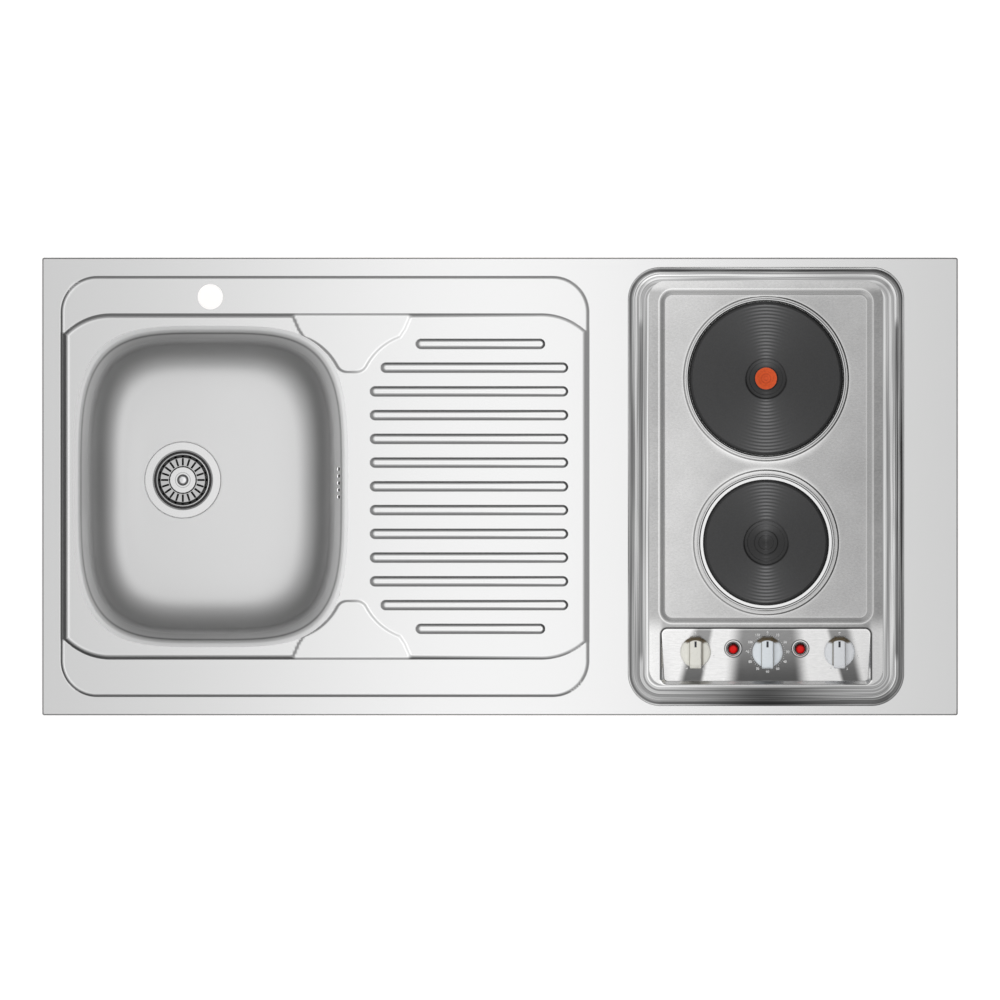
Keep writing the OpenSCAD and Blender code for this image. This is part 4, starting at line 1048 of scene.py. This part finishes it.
def text_mesh(words, size):
    """Triangles of a short text in millimetres, centred on the origin in the XY plane."""
    curve = bpy.data.curves.new("figures", "FONT")
    curve.body = words
    curve.size = size
    curve.offset = 0.14
    curve.align_x = "CENTER"
    curve.align_y = "CENTER"
    holder = placed("figures", curve)
    mesh = holder.to_mesh()
    mesh.calc_loop_triangles()
    points = np.zeros((len(mesh.vertices), 3))
    faces = np.zeros((len(mesh.loop_triangles), 3), int)
    mesh.vertices.foreach_get("co", points.ravel())
    mesh.loop_triangles.foreach_get("vertices", faces.ravel())
    holder.to_mesh_clear()
    bpy.data.objects.remove(holder)
    return points, faces


TICKS, TICK_IN, TICK_OUT, LONG_TICK_OUT, TICK_HALF = 48, 21.3, 22.5, 23.4, 0.22


def build_scales():
    """Ticks and figures of the timer round its dial, and small marks beside the other dials."""
    bars, figures = [], []
    for i in range(TICKS):
        angle = 90 - 330 * i / (TICKS - 1)
        end = TICK_OUT if i % 4 else LONG_TICK_OUT
        c, s = cos(angle), sin(angle)
        bars.append(([(DIALS["timer"] + c * r - s * w, DIAL_Y + s * r + c * w, PRINT_Z)
                      for r, w in ((TICK_IN, -TICK_HALF), (end, -TICK_HALF), (end, TICK_HALF), (TICK_IN, TICK_HALF))],
                     [[0, 1, 2, 3]]))
    marks = [("timer", str(10 * i), 4.4, 90 - 30 * i, 26.3, 25.6) for i in range(12)]
    marks += [(name, str(i), 4.0, 90 - 52 * i, 24.6, 24.6) for name in ("left", "right") for i in range(5)]
    for name, words, size, angle, wide, high in marks:
        points, faces = text_mesh(words, size)
        place = [DIALS[name] + wide * cos(angle), DIAL_Y + high * sin(angle), PRINT_Z]
        figures.append((points * [1, 1, 0] + place, faces))
    for name, parts in (("dial_ticks", bars), ("dial_figures", figures)):
        make_object(name, tilted(joined(parts), PANEL_AT), print_white, flat=True)


build_scales()


# ---------------- carried-over nodes

FINISHES = {
    timber_x: ["rail_front", "rail_rear"],
    timber_y: ["rail_left", "rail_right", "cross_rail_hob", "batten_sink", "batten_middle"],
    chipboard: ["board_rear", "board_front", "board_drainer"],
    zinc: ["tap_plate", "fixing_angles", "hob_tray", "hob_clamps", "rear_plate_bar", "front_plate_bar",
           "control_bracket"],
    flange_steel: ["waste_flange"],
    basket_steel: ["strainer_basket"],
    chrome: ["basket_knob"],
    screw_steel: ["waste_screw", "tray_screws", "clamp_screws", "plate_nuts", "left_shaft", "right_shaft",
                  "timer_shaft"],
}
# Moulded plastics, rubbers and ceramic, each with its colour and roughness.
MOULDED = {
    "rubber": ((0.03, 0.03, 0.03), 0.75, ["waste_gasket_upper", "waste_gasket_lower", "basket_seal", "hob_gasket"]),
    "pad_rubber": ((0.05, 0.05, 0.05), 0.9, ["bowl_sound_pad"]),
    "white_plastic": ((0.80, 0.80, 0.78), 0.45, ["waste_body", "left_lamp_holder", "right_lamp_holder",
                                                 "terminal_block"]),
    "grey_plastic": ((0.30, 0.31, 0.32), 0.5, ["overflow_collector"]),
    "hose_plastic": ((0.38, 0.39, 0.40), 0.5, ["overflow_hose"]),
    "ceramic": ((0.78, 0.75, 0.68), 0.65, ["rear_heater", "front_heater", "rear_terminals", "front_terminals"]),
    "switch_plastic": ((0.06, 0.06, 0.06), 0.5, ["left_switch", "right_switch"]),
    "timer_plastic": ((0.66, 0.66, 0.62), 0.5, ["timer_body"]),
    "gland_plastic": ((0.03, 0.03, 0.03), 0.45, ["cable_gland"]),
}
for name, (colour, rough, names) in MOULDED.items():
    moulded = Paint(name, colour, rough)
    moulded.uneven(rough, 0.06, 0.02)
    FINISHES[moulded] = names
for paint, names in FINISHES.items():
    for name in names:
        slots = nodes[name].data.materials
        slots.clear()
        slots.append(paint.material)


# ---------------- studio

ZENITH, RING, MIDDLE = 1.14, 1.24, 0.52
FLOOR_HALF, FLOOR_AT, SCRIM_HALF, SCRIM_AT, LAMP_AT = 6.0, -0.205, 3.0, 0.6, 2.5
VIEW_WIDE, VIEW_AT = 1.31, (0.0, -0.0177, 3.0)


def plane(name, half, height, paint):
    """A level square of the stage, in metres."""
    mesh = bpy.data.meshes.new(name)
    mesh.from_pydata([(-half, -half, height), (half, -half, height), (half, half, height), (-half, half, height)],
                     [], [(0, 1, 2, 3)])
    mesh.materials.append(paint.material)
    made = placed(name, mesh)
    return made


def sky():
    """Soft light that is bright overhead and dimmer in a ring lower down; below that it falls off, more to the
    right and the back than to the left and the front, and is brighter again near the horizon."""
    world = bpy.context.scene.world or bpy.data.worlds.new("studio")
    bpy.context.scene.world = world
    world.use_nodes = True
    tree = world.node_tree
    tree.nodes.clear()
    out, back, coords, parts = (tree.nodes.new("ShaderNode" + kind)
                                for kind in ("OutputWorld", "Background", "TexCoord", "SeparateXYZ"))
    tree.links.new(back.outputs[0], out.inputs[0])
    tree.links.new(coords.outputs["Generated"], parts.inputs[0])
    x, y, z = (Value(tree, parts.outputs[i]) for i in range(3))
    low = (0.14 - 0.24 * x + 0.156 * x * x - 0.07 * y).most(0.03) + (1.0 - z.above(0.34, 0.50)) * 0.44
    bright = low + (MIDDLE - low) * z.above(0.62, 0.80)
    bright = bright + (RING + x * 0.7 - bright) * z.above(0.84, 0.94)
    bright = bright + (ZENITH - bright) * z.above(0.975, 0.995)
    tree.links.new(bright.socket, back.inputs["Strength"])
    back.inputs["Color"].default_value = (1.0, 1.0, 1.0, 1.0)


def studio():
    """The sky, a pale floor, a scrim that thins the light towards both ends of the top, a fill for the plastics,
    which no metal mirrors, and the camera straight above."""
    sky()
    paint = Paint("floor", (0.5, 0.5, 0.5), 1.0)
    paint.set("Specular IOR Level", 0.0)
    paint.glow(0.8)
    plane("floor", FLOOR_HALF, FLOOR_AT, paint)
    paint = Paint("scrim", (1.0, 1.0, 1.0))
    share = 0.62 + paint.xyz()[0].bell(0.02, 0.42) * 0.38
    thin = paint.node("ShaderNodeMixShader", Fac=share)
    for slot, tone in ((1, 0.0), (2, 1.0)):
        clear = paint.node("ShaderNodeBsdfTransparent", Color=(tone, tone, tone, 1.0))
        feed(paint.tree, thin.inputs[slot], clear.outputs[0])
    output = next(n for n in paint.tree.nodes if n.type == "OUTPUT_MATERIAL")
    feed(paint.tree, output.inputs["Surface"], thin.outputs[0])
    plane("scrim", SCRIM_HALF, SCRIM_AT, paint).visible_camera = False
    fill = bpy.data.lights.new("fill", "AREA")
    fill.size = 3.0
    fill.energy = 30.0
    lamp = placed("fill", fill)
    lamp.location = (0.0, 0.0, LAMP_AT)
    lamp.visible_glossy = False
    lamp.visible_camera = False
    camera = bpy.data.cameras.new("camera")
    camera.type = "ORTHO"
    camera.ortho_scale = VIEW_WIDE
    camera.clip_end = 20
    eye = placed("camera", camera)
    eye.location = VIEW_AT
    bpy.context.scene.camera = eye
    bpy.context.scene.view_settings.view_transform = "Standard"

studio()
